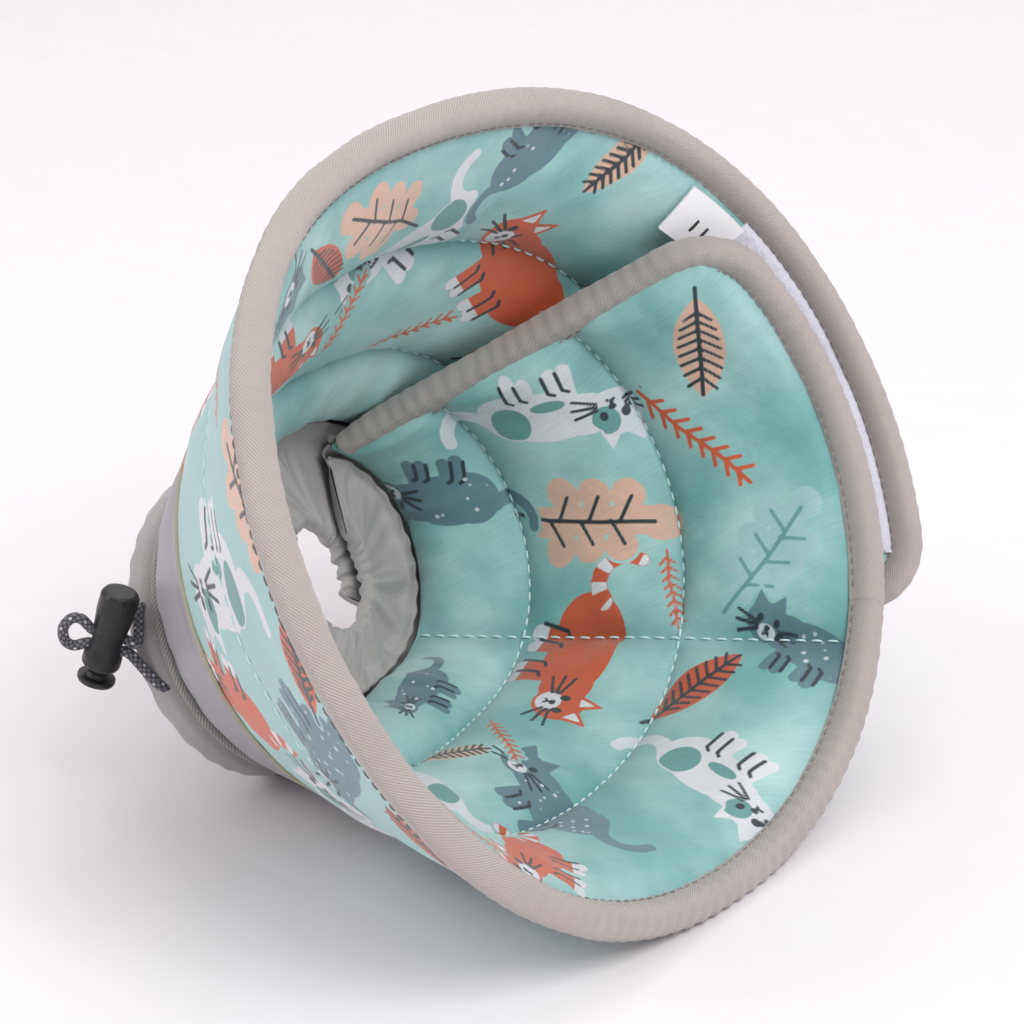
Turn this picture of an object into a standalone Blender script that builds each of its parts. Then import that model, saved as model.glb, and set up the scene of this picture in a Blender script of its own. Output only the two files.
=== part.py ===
# Soft elizabethan collar for a small pet, lying on its side.
# A quilted fan (printed shell, padding, printed lining) is wrapped into a cone that
# overlaps itself, edged with binding tape, with a drawcord sleeve at the neck.
# Metres, +Z up, the floor is z = 0. "turn" is the angle in degrees round the wrap,
# from the edge of the inner flap (0) to the edge of the outer end (WRAP).
import bpy
import bmesh
import math
from mathutils import Matrix, Vector

# ---------------------------------------------------------------- dimensions
RIM_R = 0.100            # mean radius of the rim
RIM_GROW = 0.192         # how much the rim's spiral opens in one turn, share of RIM_R
RIM_OVAL = (-0.0835, -0.0131)
RIM_TRI = (0.0232, 0.0010)
RIM_WAVE_2 = (0.0472, 0.0144)   # the rim is not flat: it waves along the axis
RIM_WAVE_3 = (0.0015, 0.0129)
NECK_R = 0.0454          # mean radius of the neck seam
NECK_GROW = 0.23
NECK_OVAL = (-0.2551, 0.0357)
NECK_CENTRE = (-0.0046, -0.0163)
NECK_TILT = (0.0014, -0.0085)
NECK_TWIST = -0.065
NECK_TWIST_FLAP = -0.111
DEPTH = 0.1116           # rim plane to neck seam, along the axis
DIP = math.radians(29.6)         # the axis dips towards the neck: the cone lies on its side
START = math.radians(240.84)     # from the lowest line of the cone to the flap edge
WRAP = 421.0
CENTRE = Vector((0.0443, -0.0050, 0.0869))

QUILT = 0.0051           # shell to lining
QUILT_NECK = 0.0034      # pressed thinner at the neck seam
CLOTH = 0.0006
THIN_FROM = 0.875        # share of the slant where the quilt begins to thin
CLOTH_END = 0.995
TAPE = 0.0007            # binding tape
BIND_W = 0.0085          # width of the binding
BIND_END = 0.975         # the end binding stops just short of the piping
CORNER_R = 0.018         # rounded corners of the flap and of the outer end
GAP = 0.0003

BREAKS = (0.0, 42.0, 85.0, 255.0, 300.0, 345.0, WRAP)   # the wrap's six bending sections
ROOT = 3
HALF_GAP = 0.25          # degrees left open on each side of a break
HINGE_OUT = 0.0072       # the bending lines run just outside the cloth

STRIP_S = (0.70, 0.965)  # reflective strip, share of the slant from rim to neck
SLEEVE_O = (0.0002, 0.0029)
HOLE_CENTRE = (-0.0040, -0.0295)
HOLE_R = 0.0148
STACK = 0.0075           # how far the sleeve climbs along the axis in one turn
PIPING_R = 0.0012

CORD_R = 0.0013
EXIT_LOW = 210.0
EXIT_HIGH = 227.0
LOCK_AT = Vector((-0.0625, -0.0593, 0.0457))
LOCK_DOWN = Vector((-0.2492, -0.1625, -0.9547)).normalized()
LOCK_BORE = Vector((-0.7970, -0.5257, 0.2975))
BARREL_TOP = -0.0135
BARREL_END = 0.0065
BARREL_R = 0.0047
BARREL_BORE_R = 0.0036
TRAVEL = 0.0025

# ---------------------------------------------------------------- scene
for ob in list(bpy.data.objects):
    bpy.data.objects.remove(ob, do_unlink=True)
parts = bpy.data.collections.new("elizabethan_collar")
cutters = bpy.data.collections.new("cutters")
bpy.context.scene.collection.children.link(parts)
bpy.context.scene.collection.children.link(cutters)


def material(name, colour, rough, metal=0.0):
    m = bpy.data.materials.new(name)
    m.use_nodes = True
    b = m.node_tree.nodes["Principled BSDF"]
    b.inputs["Base Color"].default_value = (*colour, 1.0)
    b.inputs["Roughness"].default_value = rough
    b.inputs["Metallic"].default_value = metal
    return m


MAT = {
    "shell": material("printed_shell", (0.48, 0.72, 0.70), 0.5),
    "padding": material("padding", (0.85, 0.85, 0.83), 0.9),
    "lining": material("printed_lining", (0.28, 0.58, 0.55), 0.4),
    "binding": material("binding_tape", (0.42, 0.38, 0.36), 0.8),
    "strip": material("reflective_strip", (0.48, 0.48, 0.51), 0.4),
    "piping": material("piping", (0.40, 0.37, 0.36), 0.8),
    "sleeve": material("neck_sleeve", (0.42, 0.40, 0.39), 0.75),
    "cord": material("drawcord", (0.10, 0.10, 0.11), 0.7),
    "hook": material("hook_tape", (0.45, 0.45, 0.48), 0.8),
    "loop": material("loop_tape", (0.62, 0.62, 0.68), 0.9),
    "label": material("size_label", (0.85, 0.84, 0.83), 0.6),
    "lock": material("cord_lock_plastic", (0.02, 0.02, 0.022), 0.4),
    "spring": material("spring_steel", (0.6, 0.6, 0.6), 0.3, 1.0),
}

# ---------------------------------------------------------------- the cone
AX = Vector((-math.cos(DIP), 0.0, -math.sin(DIP)))     # rim to neck
DOWN = Vector((math.sin(DIP), 0.0, -math.cos(DIP)))    # square to the axis, lowest line
SIDE = Vector((0.0, -1.0, 0.0))


def wave(pair, n, a):
    return pair[0] * math.cos(n * a) + pair[1] * math.sin(n * a)


def base(turn, s):
    """Point of the lining at this turn, s = 0 on the rim and 1 on the neck seam."""
    t = math.radians(turn)
    f = t + START
    g = (t - math.pi) / (2 * math.pi)
    rim = RIM_R * (1 + wave(RIM_OVAL, 2, f) + wave(RIM_TRI, 3, f) + RIM_GROW * g)
    rim_z = RIM_R * (wave(RIM_WAVE_2, 2, f) + wave(RIM_WAVE_3, 3, f))
    q = f + NECK_TWIST + NECK_TWIST_FLAP * math.exp(-t / 1.2)
    neck = NECK_R * (1 + wave(NECK_OVAL, 2, q) + NECK_GROW * g)
    neck_z = DEPTH + wave(NECK_TILT, 1, q)
    x = (1 - s) * rim * math.cos(f) + s * (NECK_CENTRE[0] + neck * math.cos(q))
    y = (1 - s) * rim * math.sin(f) + s * (NECK_CENTRE[1] + neck * math.sin(q))
    z = (1 - s) * rim_z + s * neck_z
    return CENTRE + DOWN * x + SIDE * y + AX * z


def slopes(turn, s):
    return (base(turn + 0.2, s) - base(turn - 0.2, s)) / 0.4, (base(turn, s + 0.01) - base(turn, s - 0.01)) / 0.02


def normal(turn, s):
    a, b = slopes(turn, s)
    return a.cross(b).normalized()


def surf(turn, s, out):
    return base(turn, s) + normal(turn, s) * out


def smooth(x):
    x = min(1.0, max(0.0, x))
    return x * x * (3 - 2 * x)


def quilt(s):
    """Thickness of the quilt: even, then thinner towards the neck seam."""
    return QUILT - (QUILT - QUILT_NECK) * min(1.0, max(0.0, (s - THIN_FROM) / (CLOTH_END - THIN_FROM)))


def slant(turn):
    return (base(turn, 0.0) - base(turn, 1.0)).length


def corner(turn):
    """Where the cloth starts above the rim at this turn, inside the rounded corners."""
    per_degree = slopes(turn, 0.0)[0].length
    x = min(turn, WRAP - turn) * per_degree
    if x >= CORNER_R:
        return 0.0
    return (CORNER_R - math.sqrt(max(0.0, CORNER_R ** 2 - (CORNER_R - x) ** 2))) / slant(turn)


def corner_turns(at_start):
    """Turns of the stations that follow the rounded corner evenly."""
    per_degree = slopes(0.0 if at_start else WRAP, 0.0)[0].length
    steps = [CORNER_R * (1 - math.cos(math.radians(a))) / per_degree for a in (0, 22.5, 45, 67.5, 90)]
    return steps if at_start else [WRAP - v for v in reversed(steps)]


def stations(a, b, step=9.5):
    n = max(1, math.ceil((b - a) / step))
    return [a + (b - a) * i / n for i in range(n + 1)]


def section_turns(k, inset=HALF_GAP):
    a, b = BREAKS[k - 1], BREAKS[k]
    if k == 1:
        c = corner_turns(True)
        return c[:-1] + stations(c[-1], b - inset)
    if k == len(BREAKS) - 1:
        c = corner_turns(False)
        return stations(a + inset, c[0])[:-1] + c
    return stations(a + inset, b - inset)


def slant_stations(a, b=CLOTH_END):
    """Stations from the cloth's edge to the neck seam, one where it begins to thin."""
    return [a + (THIN_FROM - a) * i / 4 for i in range(5)] + [(THIN_FROM + CLOTH_END) / 2, b]


# ---------------------------------------------------------------- makers
def link(ob, mat):
    parts.objects.link(ob)
    ob.data.materials.append(MAT[mat])
    return ob


def sheet(name, rows, thick, mat, offset=1.0):
    """A shell: an open grid of points, thickened with Solidify."""
    bm = bmesh.new()
    grid = [[bm.verts.new(p) for p in row] for row in rows]
    for i in range(len(grid) - 1):
        for j in range(len(grid[0]) - 1):
            bm.faces.new((grid[i][j], grid[i + 1][j], grid[i + 1][j + 1], grid[i][j + 1]))
    me = bpy.data.meshes.new(name)
    bm.to_mesh(me)
    bm.free()
    me.shade_smooth()
    ob = link(bpy.data.objects.new(name, me), mat)
    so = ob.modifiers.new("thickness", "SOLIDIFY")
    so.thickness = thick
    so.offset = offset
    so.use_even_offset = True
    so.use_quality_normals = True
    return ob


def layer(name, turns, s0, s1, out, thick, mat, n=0):
    """One cloth layer of the quilt over these turns."""
    rows = []
    for t in turns:
        a = max(s0, corner(t)) if s0 == 0.0 else s0
        at = slant_stations(a, s1) if n == 0 else [a + (s1 - a) * j / n for j in range(n + 1)]
        if s0 == STRIP_S[0]:
            at = [s0, (s0 + THIN_FROM) / 2, THIN_FROM, s1]
        rows.append([surf(t, v, out(v)) for v in at])
    return sheet(name, rows, thick, mat)


def tube(name, points, radius, mat, closed=False, resolution=2):
    cu = bpy.data.curves.new(name, "CURVE")
    cu.dimensions = "3D"
    cu.bevel_depth = radius
    cu.bevel_resolution = resolution
    cu.use_fill_caps = True
    sp = cu.splines.new("POLY")
    sp.points.add(len(points) - 1)
    for p, q in zip(sp.points, points):
        p.co = (*q, 1.0)
    ob = bpy.data.objects.new(name, cu)
    return link(ob, mat)


def channel(name, path, mat):
    """Binding tape folded round an edge. path holds (turn, s, inward turn, inward s) rows."""
    rows = []
    for t, s, it, si in path:
        a, b = slopes(t, s)
        inward = a * it + b * si
        unit = 1.0 / inward.length
        T = quilt(s)
        row = []
        for d, o in ((BIND_W, -0.0011), (BIND_W / 2, -0.0011), (-0.0002, -0.0011), (-0.0011, -0.0002), (-0.0013, T * 0.5),
                     (-0.0011, T - 0.0003), (-0.0002, T + 0.0006), (BIND_W / 2, T + 0.0006), (BIND_W, T + 0.0006)):
            k = d * unit
            row.append(surf(t + it * k, s + si * k, o))
        rows.append(row)
    return sheet(name, rows, TAPE, mat, 0.0)


def binding_path(k):
    """The edge that section k's binding follows: the rim, and the flap or outer end."""
    a, b = BREAKS[k - 1] + HALF_GAP, BREAKS[k] - HALF_GAP
    first, last = k == 1, k == len(BREAKS) - 1
    end = 0.0 if first else WRAP
    rim = []
    if first or last:
        per_degree = slopes(end, 0.0)[0].length
        L = slant(end)
        sign = 1.0 if first else -1.0
        bend = []
        for deg in (0, 22.5, 45, 67.5, 90):
            r = math.radians(deg)
            t = end + sign * CORNER_R * (1 - math.cos(r)) / per_degree
            s = CORNER_R * (1 - math.sin(r)) / L
            bend.append((t, s, sign * math.cos(r) / per_degree, math.sin(r) / L))
        straight = [(end, v, sign, 0.0) for v in (BIND_END, 0.925, THIN_FROM, 0.70, 0.52, 0.34)]
        lead = straight + bend
        start = bend[-1][0]
        if first:
            return lead + [(t, 0.0, 0.0, 1.0) for t in stations(start, b)[1:]]
        return [(t, 0.0, 0.0, 1.0) for t in stations(a, start)[:-1]] + list(reversed(lead))
    return [(t, 0.0, 0.0, 1.0) for t in stations(a, b)]


# ---------------------------------------------------------------- neck sleeve
def climb(turn, w):
    return STACK * (turn - 180.0) / 360.0 * smooth(w / 0.2)


def sleeve(turn, w, a, out):
    """w = 0 at the neck seam, 1 at the gathered hole; a along the axis, out at the seam."""
    q = math.radians(turn) + START
    hole = CENTRE + DOWN * (HOLE_CENTRE[0] + HOLE_R * math.cos(q)) + SIDE * (HOLE_CENTRE[1] + HOLE_R * math.sin(q))
    tilt = q + NECK_TWIST
    hole = hole + AX * (DEPTH + 0.5 * wave(NECK_TILT, 1, tilt))
    seam = surf(turn, 1.0, out)
    return seam.lerp(hole, w) + AX * (a + climb(turn, w))


SLEEVE_SECTION = (
    (0.00, 0.0008, 1), (0.01, 0.0030, 1), (0.05, 0.0060, 1), (0.13, 0.0083, 1), (0.30, 0.0093, 1),
    (0.55, 0.0090, 1), (0.80, 0.0086, 1), (0.94, 0.0081, 1), (1.00, 0.0059, 0.5), (0.94, 0.0037, 0),
    (0.80, 0.0038, 0), (0.55, 0.0044, 0), (0.30, 0.0047, 0), (0.17, 0.0039, 0), (0.09, 0.0026, 0),
    (0.035, 0.0015, 0), (0.02, 0.0008, 0),
)


def sleeve_rows(turns):
    rows = []
    for t in turns:
        rows.append([sleeve(t, w, a, SLEEVE_O[0] + (SLEEVE_O[1] - SLEEVE_O[0]) * side)
                     for w, a, side in SLEEVE_SECTION])
    return rows


def tunnel(turn, w):
    """Middle of the sleeve's tunnel."""
    mids = ((0.05, 0.0038, 0.0016), (0.09, 0.0052, 0.0016), (0.17, 0.0064, 0.0016), (0.30, 0.0070, 0.0016),
            (0.55, 0.0067, 0.0016), (0.80, 0.0062, 0.0016), (0.87, 0.0061, 0.0016))
    w = min(max(w, mids[0][0]), mids[-1][0])
    for (w0, a0, o0), (w1, a1, o1) in zip(mids, mids[1:]):
        if w <= w1 + 1e-9:
            k = (w - w0) / (w1 - w0)
            return sleeve(turn, w, a0 + (a1 - a0) * k, o0)
    return sleeve(turn, w, mids[-1][1], mids[-1][2])


def through(points, count):
    """A smooth curve (Catmull-Rom) through the points, read at count even steps."""
    p = [points[0] * 2 - points[1]] + list(points) + [points[-1] * 2 - points[-2]]
    fine = []
    for i in range(1, len(p) - 2):
        for k in range(12):
            u = k / 12.0
            fine.append(0.5 * (2 * p[i] + (p[i + 1] - p[i - 1]) * u
                               + (2 * p[i - 1] - 5 * p[i] + 4 * p[i + 1] - p[i + 2]) * u * u
                               + (3 * p[i] - p[i - 1] - 3 * p[i + 1] + p[i + 2]) * u ** 3))
    fine.append(points[-1].copy())
    run = [0.0]
    for a, b in zip(fine, fine[1:]):
        run.append(run[-1] + (b - a).length)
    out, j = [], 0
    for k in range(count):
        d = run[-1] * k / (count - 1)
        while j < len(run) - 2 and run[j + 1] < d:
            j += 1
        u = (d - run[j]) / max(1e-9, run[j + 1] - run[j])
        out.append(fine[j].lerp(fine[j + 1], u))
    return out


# ---------------------------------------------------------------- hinge empties
def hinge_line(turn):
    return surf(turn, 0.0, HINGE_OUT), surf(turn, 1.0, HINGE_OUT)


def pivot(name, at, axis, parent=None):
    e = bpy.data.objects.new(name, None)
    e.empty_display_size = 0.01
    e.location = at
    e.rotation_euler = axis.to_track_quat("Z", "Y").to_euler()
    parts.objects.link(e)
    bpy.context.view_layer.update()
    if parent:
        e.parent = parent
        e.matrix_parent_inverse = parent.matrix_world.inverted()
    return e


def hang(ob, parent):
    bpy.context.view_layer.update()
    ob.parent = parent
    ob.matrix_parent_inverse = parent.matrix_world.inverted()


def bend_pivot(name, turn, parent=None):
    a, b = hinge_line(turn)
    return pivot(name, (a + b) / 2, (b - a).normalized(), parent)


PIVOTS = {}
PIVOTS[2] = bend_pivot("bend_2_3", BREAKS[2])
PIVOTS[1] = bend_pivot("bend_1_2", BREAKS[1], PIVOTS[2])
PIVOTS[4] = bend_pivot("bend_3_4", BREAKS[3])
PIVOTS[5] = bend_pivot("bend_4_5", BREAKS[4], PIVOTS[4])
PIVOTS[6] = bend_pivot("bend_5_6", BREAKS[5], PIVOTS[5])

# ---------------------------------------------------------------- the wrap
floor_cutter_mesh = bpy.data.meshes.new("floor_cutter")
bm = bmesh.new()
bmesh.ops.create_cube(bm, size=1.0, matrix=Matrix.Translation((0, 0, -0.5)))
bm.to_mesh(floor_cutter_mesh)
bm.free()
floor_cutter = bpy.data.objects.new("floor_cutter", floor_cutter_mesh)
floor_cutter.hide_render = True
floor_cutter.display_type = "WIRE"
cutters.objects.link(floor_cutter)


def press_flat(ob):
    """The cloth is pressed flat where it rests on the floor."""
    m = ob.modifiers.new("rest", "BOOLEAN")
    m.operation = "DIFFERENCE"
    m.object = floor_cutter
    m.solver = "EXACT"


def as_mesh(ob):
    """A curve made into one closed mesh, so that it can be cut."""
    bpy.context.view_layer.update()
    dg = bpy.context.evaluated_depsgraph_get()
    me = bpy.data.meshes.new_from_object(ob.evaluated_get(dg))
    bm = bmesh.new()
    bm.from_mesh(me)
    bmesh.ops.remove_doubles(bm, verts=bm.verts, dist=0.00001)
    bm.to_mesh(me)
    bm.free()
    name, place = ob.name, ob.matrix_world.copy()
    bpy.data.objects.remove(ob, do_unlink=True)
    new = bpy.data.objects.new(name, me)
    new.matrix_world = place
    parts.objects.link(new)
    return new


made = {}
for k in range(1, len(BREAKS)):
    turns = section_turns(k)
    group = [
        layer("lining_%d" % k, turns, 0.0, CLOTH_END, lambda s: -0.00045, CLOTH, "lining"),
        layer("shell_%d" % k, turns, 0.0, CLOTH_END, lambda s: quilt(s) - 0.00065, CLOTH, "shell"),
        channel("binding_%d" % k, binding_path(k), "binding"),
    ]
    # the padding's thickness follows the quilt, so it is a loft between two surfaces
    rows = []
    for t in turns:
        a = corner(t)
        low = [surf(t, v, 0.00045) for v in slant_stations(a)]
        high = [surf(t, v, quilt(v) - 0.00125) for v in slant_stations(a)]
        rows.append(low + high[::-1])
    bm = bmesh.new()
    rings = [[bm.verts.new(p) for p in row] for row in rows]
    for r0, r1 in zip(rings, rings[1:]):
        for j in range(len(r0)):
            n = (j + 1) % len(r0)
            bm.faces.new((r0[j], r1[j], r1[n], r0[n]))
    for ring, flip in ((rings[0], False), (rings[-1], True)):
        m = len(ring) // 2
        for j in range(m - 1):
            quad = (ring[j], ring[j + 1], ring[-2 - j], ring[-1 - j])
            bm.faces.new(quad[::-1] if flip else quad)
    bmesh.ops.recalc_face_normals(bm, faces=bm.faces)
    me = bpy.data.meshes.new("padding_%d" % k)
    bm.to_mesh(me)
    bm.free()
    group.append(link(bpy.data.objects.new("padding_%d" % k, me), "padding"))

    a, b = BREAKS[k - 1] + HALF_GAP, BREAKS[k] - HALF_GAP
    first, last = corner_turns(True)[-1], corner_turns(False)[0]
    group.append(layer("reflective_strip_%d" % k, [t for t in turns if first <= t <= last], STRIP_S[0], STRIP_S[1],
                       lambda s: quilt(s) + 0.00025, 0.0005, "strip", 3))
    pa, pb = (1.5 if k == 1 else a + 0.1), (WRAP - 1.5 if k == 6 else b - 0.1)
    roll = tube("piping_%d" % k, [surf(t, 1.0, QUILT_NECK + 0.0002 + PIPING_R) for t in stations(pa, pb)],
                PIPING_R, "piping")
    group.append(as_mesh(roll) if k == ROOT else roll)
    group.append(sheet("neck_sleeve_%d" % k, sleeve_rows(stations(a + 0.45, b - 0.45)), TAPE, "sleeve", 0.0))
    if k != ROOT:
        ca, cb = (5.0 if k == 1 else a + 0.8), (WRAP - 5.0 if k == 6 else b - 0.8)
        group.append(tube("drawcord_%d" % k, [tunnel(t, 0.87) for t in stations(ca, cb, 8.0)], CORD_R, "cord"))
    made[k] = group

# closure pads and the label
hook = layer("hook_pad", stations(9.0, 35.0), 0.12, 0.45, lambda s: quilt(s) + 0.0003, 0.0013, "hook", 3)
made[1].append(hook)
loop = layer("loop_pad", stations(368.0, 413.0), 0.078, 0.50, lambda s: -0.00240, 0.0013, "loop", 4)
made[6].append(loop)
label = layer("size_label", stations(357.0, 366.0, 4.5), 0.072, 0.150, lambda s: -0.0014, 0.0005, "label", 2)
made[6].append(label)

# ---------------------------------------------------------------- drawcord through the lock
side_v = LOCK_BORE - LOCK_DOWN * LOCK_BORE.dot(LOCK_DOWN)
side_v.normalize()
deep_v = LOCK_DOWN.cross(side_v)


def lock(u, v, d=0.0):
    """u down the lock's axis, v along its cord bore (away from the neck), d across."""
    return LOCK_AT + LOCK_DOWN * u + side_v * v + deep_v * d


LANE = 0.0018            # each strand runs this far from the middle of the bore


def lead(turn, sign, far):
    """From the ring inside the tunnel out to the exit beside the piping."""
    near = turn - sign * 27.0
    pts = [tunnel(far + (near - far) * i / 12, 0.86) for i in range(12)] if abs(near - far) > 5 else []
    pts.append(tunnel(near, 0.87))
    for back, w in ((19.0, 0.84), (11.0, 0.73), (5.0, 0.55), (1.6, 0.34), (0.2, 0.18)):
        pts.append(tunnel(turn - sign * back, w))
    pts.append(sleeve(turn, 0.055, 0.0042, 0.0018))
    pts.append(sleeve(turn, -0.02, 0.0032, 0.0056))
    return pts


low = lead(EXIT_LOW, 1.0, BREAKS[2] + HALF_GAP + 0.8)
high = lead(EXIT_HIGH, -1.0, BREAKS[3] - HALF_GAP - 0.8)
outside = [lock(LANE, -0.0062), lock(LANE, -0.0035), lock(LANE, 0.0), lock(LANE, 0.0040),
           lock(0.0036, 0.0072), lock(0.0030, 0.0096), lock(0.0, 0.0108), lock(-0.0030, 0.0096), lock(-0.0036, 0.0072),
           lock(-LANE, 0.0040), lock(-LANE, 0.0), lock(-LANE, -0.0035), lock(-LANE, -0.0070)]
made[ROOT].append(tube("drawcord_3", through(low + outside + high[::-1], 66), CORD_R, "cord"))

# buttonholes where the two strands leave the sleeve
holes = []
for name, turn in (("exit_low", EXIT_LOW), ("exit_high", EXIT_HIGH)):
    p, q = sleeve(turn, 0.055, 0.0042, 0.0018), sleeve(turn, -0.02, 0.0032, 0.0056)
    me = bpy.data.meshes.new(name)
    bm = bmesh.new()
    bmesh.ops.create_cone(bm, cap_ends=True, segments=12, radius1=0.0027, radius2=0.0027, depth=0.0090)
    bm.to_mesh(me)
    bm.free()
    c = bpy.data.objects.new(name, me)
    c.location = p.lerp(q, 0.62)
    c.rotation_euler = (q - p).to_track_quat("Z", "Y").to_euler()
    c.hide_render = True
    c.display_type = "WIRE"
    cutters.objects.link(c)
    holes.append(c)
for ob in made[ROOT]:
    if ob.name.startswith("neck_sleeve"):
        for c in holes:
            m = ob.modifiers.new(c.name, "BOOLEAN")
            m.operation = "DIFFERENCE"
            m.object = c
            m.solver = "EXACT"

for k in (ROOT,):
    for ob in made[k]:
        if ob.name.split("_")[0] == "binding" or ob.name == "piping_3":
            press_flat(ob)

# ---------------------------------------------------------------- cord lock
lock_frame = Matrix((side_v, deep_v, LOCK_DOWN)).transposed().to_4x4()
lock_frame.translation = LOCK_AT


def turned(name, profile, mat, stretch=1.0, steps=24):
    """A turned shape: (radius, z) profile, top first, spun round local Z by a Screw modifier."""
    me = bpy.data.meshes.new(name)
    bm = bmesh.new()
    vs = [bm.verts.new((r, 0.0, z)) for r, z in profile]
    for p, q in zip(vs, vs[1:]):
        bm.edges.new((p, q))
    bm.to_mesh(me)
    bm.free()
    ob = link(bpy.data.objects.new(name, me), mat)
    sc = ob.modifiers.new("turn", "SCREW")
    sc.angle = 2 * math.pi
    sc.steps = steps
    sc.render_steps = steps
    sc.use_merge_vertices = True
    sc.merge_threshold = 0.00001
    return ob


def settle(ob, stretch=1.0):
    """Turns the modified shape into a plain mesh, stretched across, in the lock's place."""
    bpy.context.view_layer.update()
    dg = bpy.context.evaluated_depsgraph_get()
    me = bpy.data.meshes.new_from_object(ob.evaluated_get(dg))
    me.transform(Matrix.Diagonal((1.0, stretch, 1.0, 1.0)))
    bm = bmesh.new()
    bm.from_mesh(me)
    bmesh.ops.recalc_face_normals(bm, faces=bm.faces)
    bm.to_mesh(me)
    bm.free()
    new = bpy.data.objects.new(ob.name, me)
    name = ob.name
    bpy.data.objects.remove(ob, do_unlink=True)
    new.name = name
    parts.objects.link(new)
    new.matrix_world = lock_frame
    return new


# local z runs down the lock, from its closed top to the button
barrel = turned("cord_lock_barrel", [
    (0.0, BARREL_END - 0.0188), (BARREL_BORE_R, BARREL_END - 0.0188), (BARREL_BORE_R, BARREL_END),
    (BARREL_R - 0.0003, BARREL_END), (BARREL_R, BARREL_END - 0.0006), (BARREL_R, 0.0040), (BARREL_R - 0.0005, 0.0012),
    (BARREL_R - 0.0006, -0.0030), (BARREL_R, -0.0080), (BARREL_R, BARREL_TOP + 0.0012), (BARREL_R - 0.0006, BARREL_TOP + 0.0003),
    (BARREL_R - 0.0014, BARREL_TOP), (0.0, BARREL_TOP)], "lock")
barrel = settle(barrel, 1.12)
plunger = turned("cord_lock_plunger", [
    (0.0, -0.0062), (0.0026, -0.0062), (0.0030, -0.0058), (0.0032, 0.0055), (0.0032, 0.0070), (0.0026, 0.0084),
    (0.0030, 0.0094), (0.0046, 0.0096), (0.0047, 0.0104), (0.0044, 0.0111), (0.0, 0.0112)], "lock")
plunger = settle(plunger, 1.0)


def slot_cutter(name, length, width, z, depth):
    """An oblong cutter across the lock: a bar with rounded ends."""
    me = bpy.data.meshes.new(name)
    bm = bmesh.new()
    r = width / 2
    flat = length / 2 - r
    loop_pts = []
    for i in range(9):
        a = math.pi * i / 8
        loop_pts.append((r * math.cos(a), flat + r * math.sin(a)))
    for i in range(9):
        a = math.pi + math.pi * i / 8
        loop_pts.append((r * math.cos(a), -flat + r * math.sin(a)))
    face = bm.faces.new([bm.verts.new((-depth / 2, y, zz + z)) for y, zz in loop_pts])
    bm.normal_update()
    out = bmesh.ops.extrude_face_region(bm, geom=[face])
    bmesh.ops.translate(bm, verts=[v for v in out["geom"] if isinstance(v, bmesh.types.BMVert)], vec=(depth, 0, 0))
    bmesh.ops.recalc_face_normals(bm, faces=bm.faces)
    bm.to_mesh(me)
    bm.free()
    c = bpy.data.objects.new(name, me)
    c.matrix_world = lock_frame
    c.hide_render = True
    c.display_type = "WIRE"
    cutters.objects.link(c)
    return c


def cut(ob, c):
    m = ob.modifiers.new(c.name, "BOOLEAN")
    m.operation = "DIFFERENCE"
    m.object = c
    m.solver = "EXACT"


cut(barrel, slot_cutter("barrel_slot", 0.0074, 0.0038, 0.0, 0.03))
cut(plunger, slot_cutter("plunger_slot", 0.0074 + TRAVEL, 0.0036, TRAVEL / 2, 0.03))

# the spring between the barrel's closed end and the plunger
SPRING_TOP, SPRING_END, COILS = BARREL_END - 0.0188 + 0.0005, -0.0062 - 0.0005, 4
coil = []
for i in range(COILS * 10 + 1):
    a = 2 * math.pi * i / 10
    coil.append(lock_frame @ Vector((0.0024 * math.cos(a), 0.0024 * math.sin(a),
                                     SPRING_TOP + (SPRING_END - SPRING_TOP) * i / (COILS * 10))))
spring = tube("lock_spring", coil, 0.00025, "spring", resolution=1)

lock_pivot = pivot("lock_slide", LOCK_AT, side_v)
plunger_pivot = pivot("plunger_slide", LOCK_AT, LOCK_DOWN, lock_pivot)
hang(barrel, lock_pivot)
hang(spring, lock_pivot)
hang(plunger, plunger_pivot)

for k, group in made.items():
    if k in PIVOTS:
        for ob in group:
            hang(ob, PIVOTS[k])
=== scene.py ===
import bpy, bmesh, math
import numpy as np
from mathutils import Matrix, Vector


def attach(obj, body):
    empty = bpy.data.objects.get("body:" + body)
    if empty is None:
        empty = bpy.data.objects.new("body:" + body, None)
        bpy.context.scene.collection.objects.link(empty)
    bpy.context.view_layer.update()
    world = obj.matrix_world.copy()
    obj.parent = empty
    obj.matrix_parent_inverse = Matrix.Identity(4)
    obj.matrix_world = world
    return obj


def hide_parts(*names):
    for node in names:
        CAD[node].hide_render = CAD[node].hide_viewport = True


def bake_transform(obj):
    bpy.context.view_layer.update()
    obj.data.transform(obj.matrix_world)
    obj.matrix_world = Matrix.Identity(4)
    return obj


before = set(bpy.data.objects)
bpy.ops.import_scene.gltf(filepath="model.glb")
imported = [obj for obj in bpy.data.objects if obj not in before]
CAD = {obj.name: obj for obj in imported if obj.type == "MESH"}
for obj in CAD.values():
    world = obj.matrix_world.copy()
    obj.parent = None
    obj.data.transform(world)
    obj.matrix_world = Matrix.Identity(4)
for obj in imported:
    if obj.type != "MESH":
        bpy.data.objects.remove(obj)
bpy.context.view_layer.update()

# ------------------------------------------------------------------ the cone, as in part.py
RIM_R, RIM_GROW = 0.100, 0.192
RIM_OVAL, RIM_TRI = (-0.0835, -0.0131), (0.0232, 0.0010)
RIM_WAVE_2, RIM_WAVE_3 = (0.0472, 0.0144), (0.0015, 0.0129)
NECK_R, NECK_GROW = 0.0454, 0.23
NECK_OVAL, NECK_CENTRE, NECK_TILT = (-0.2551, 0.0357), (-0.0046, -0.0163), (0.0014, -0.0085)
NECK_TWIST, NECK_TWIST_FLAP = -0.065, -0.111
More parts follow.
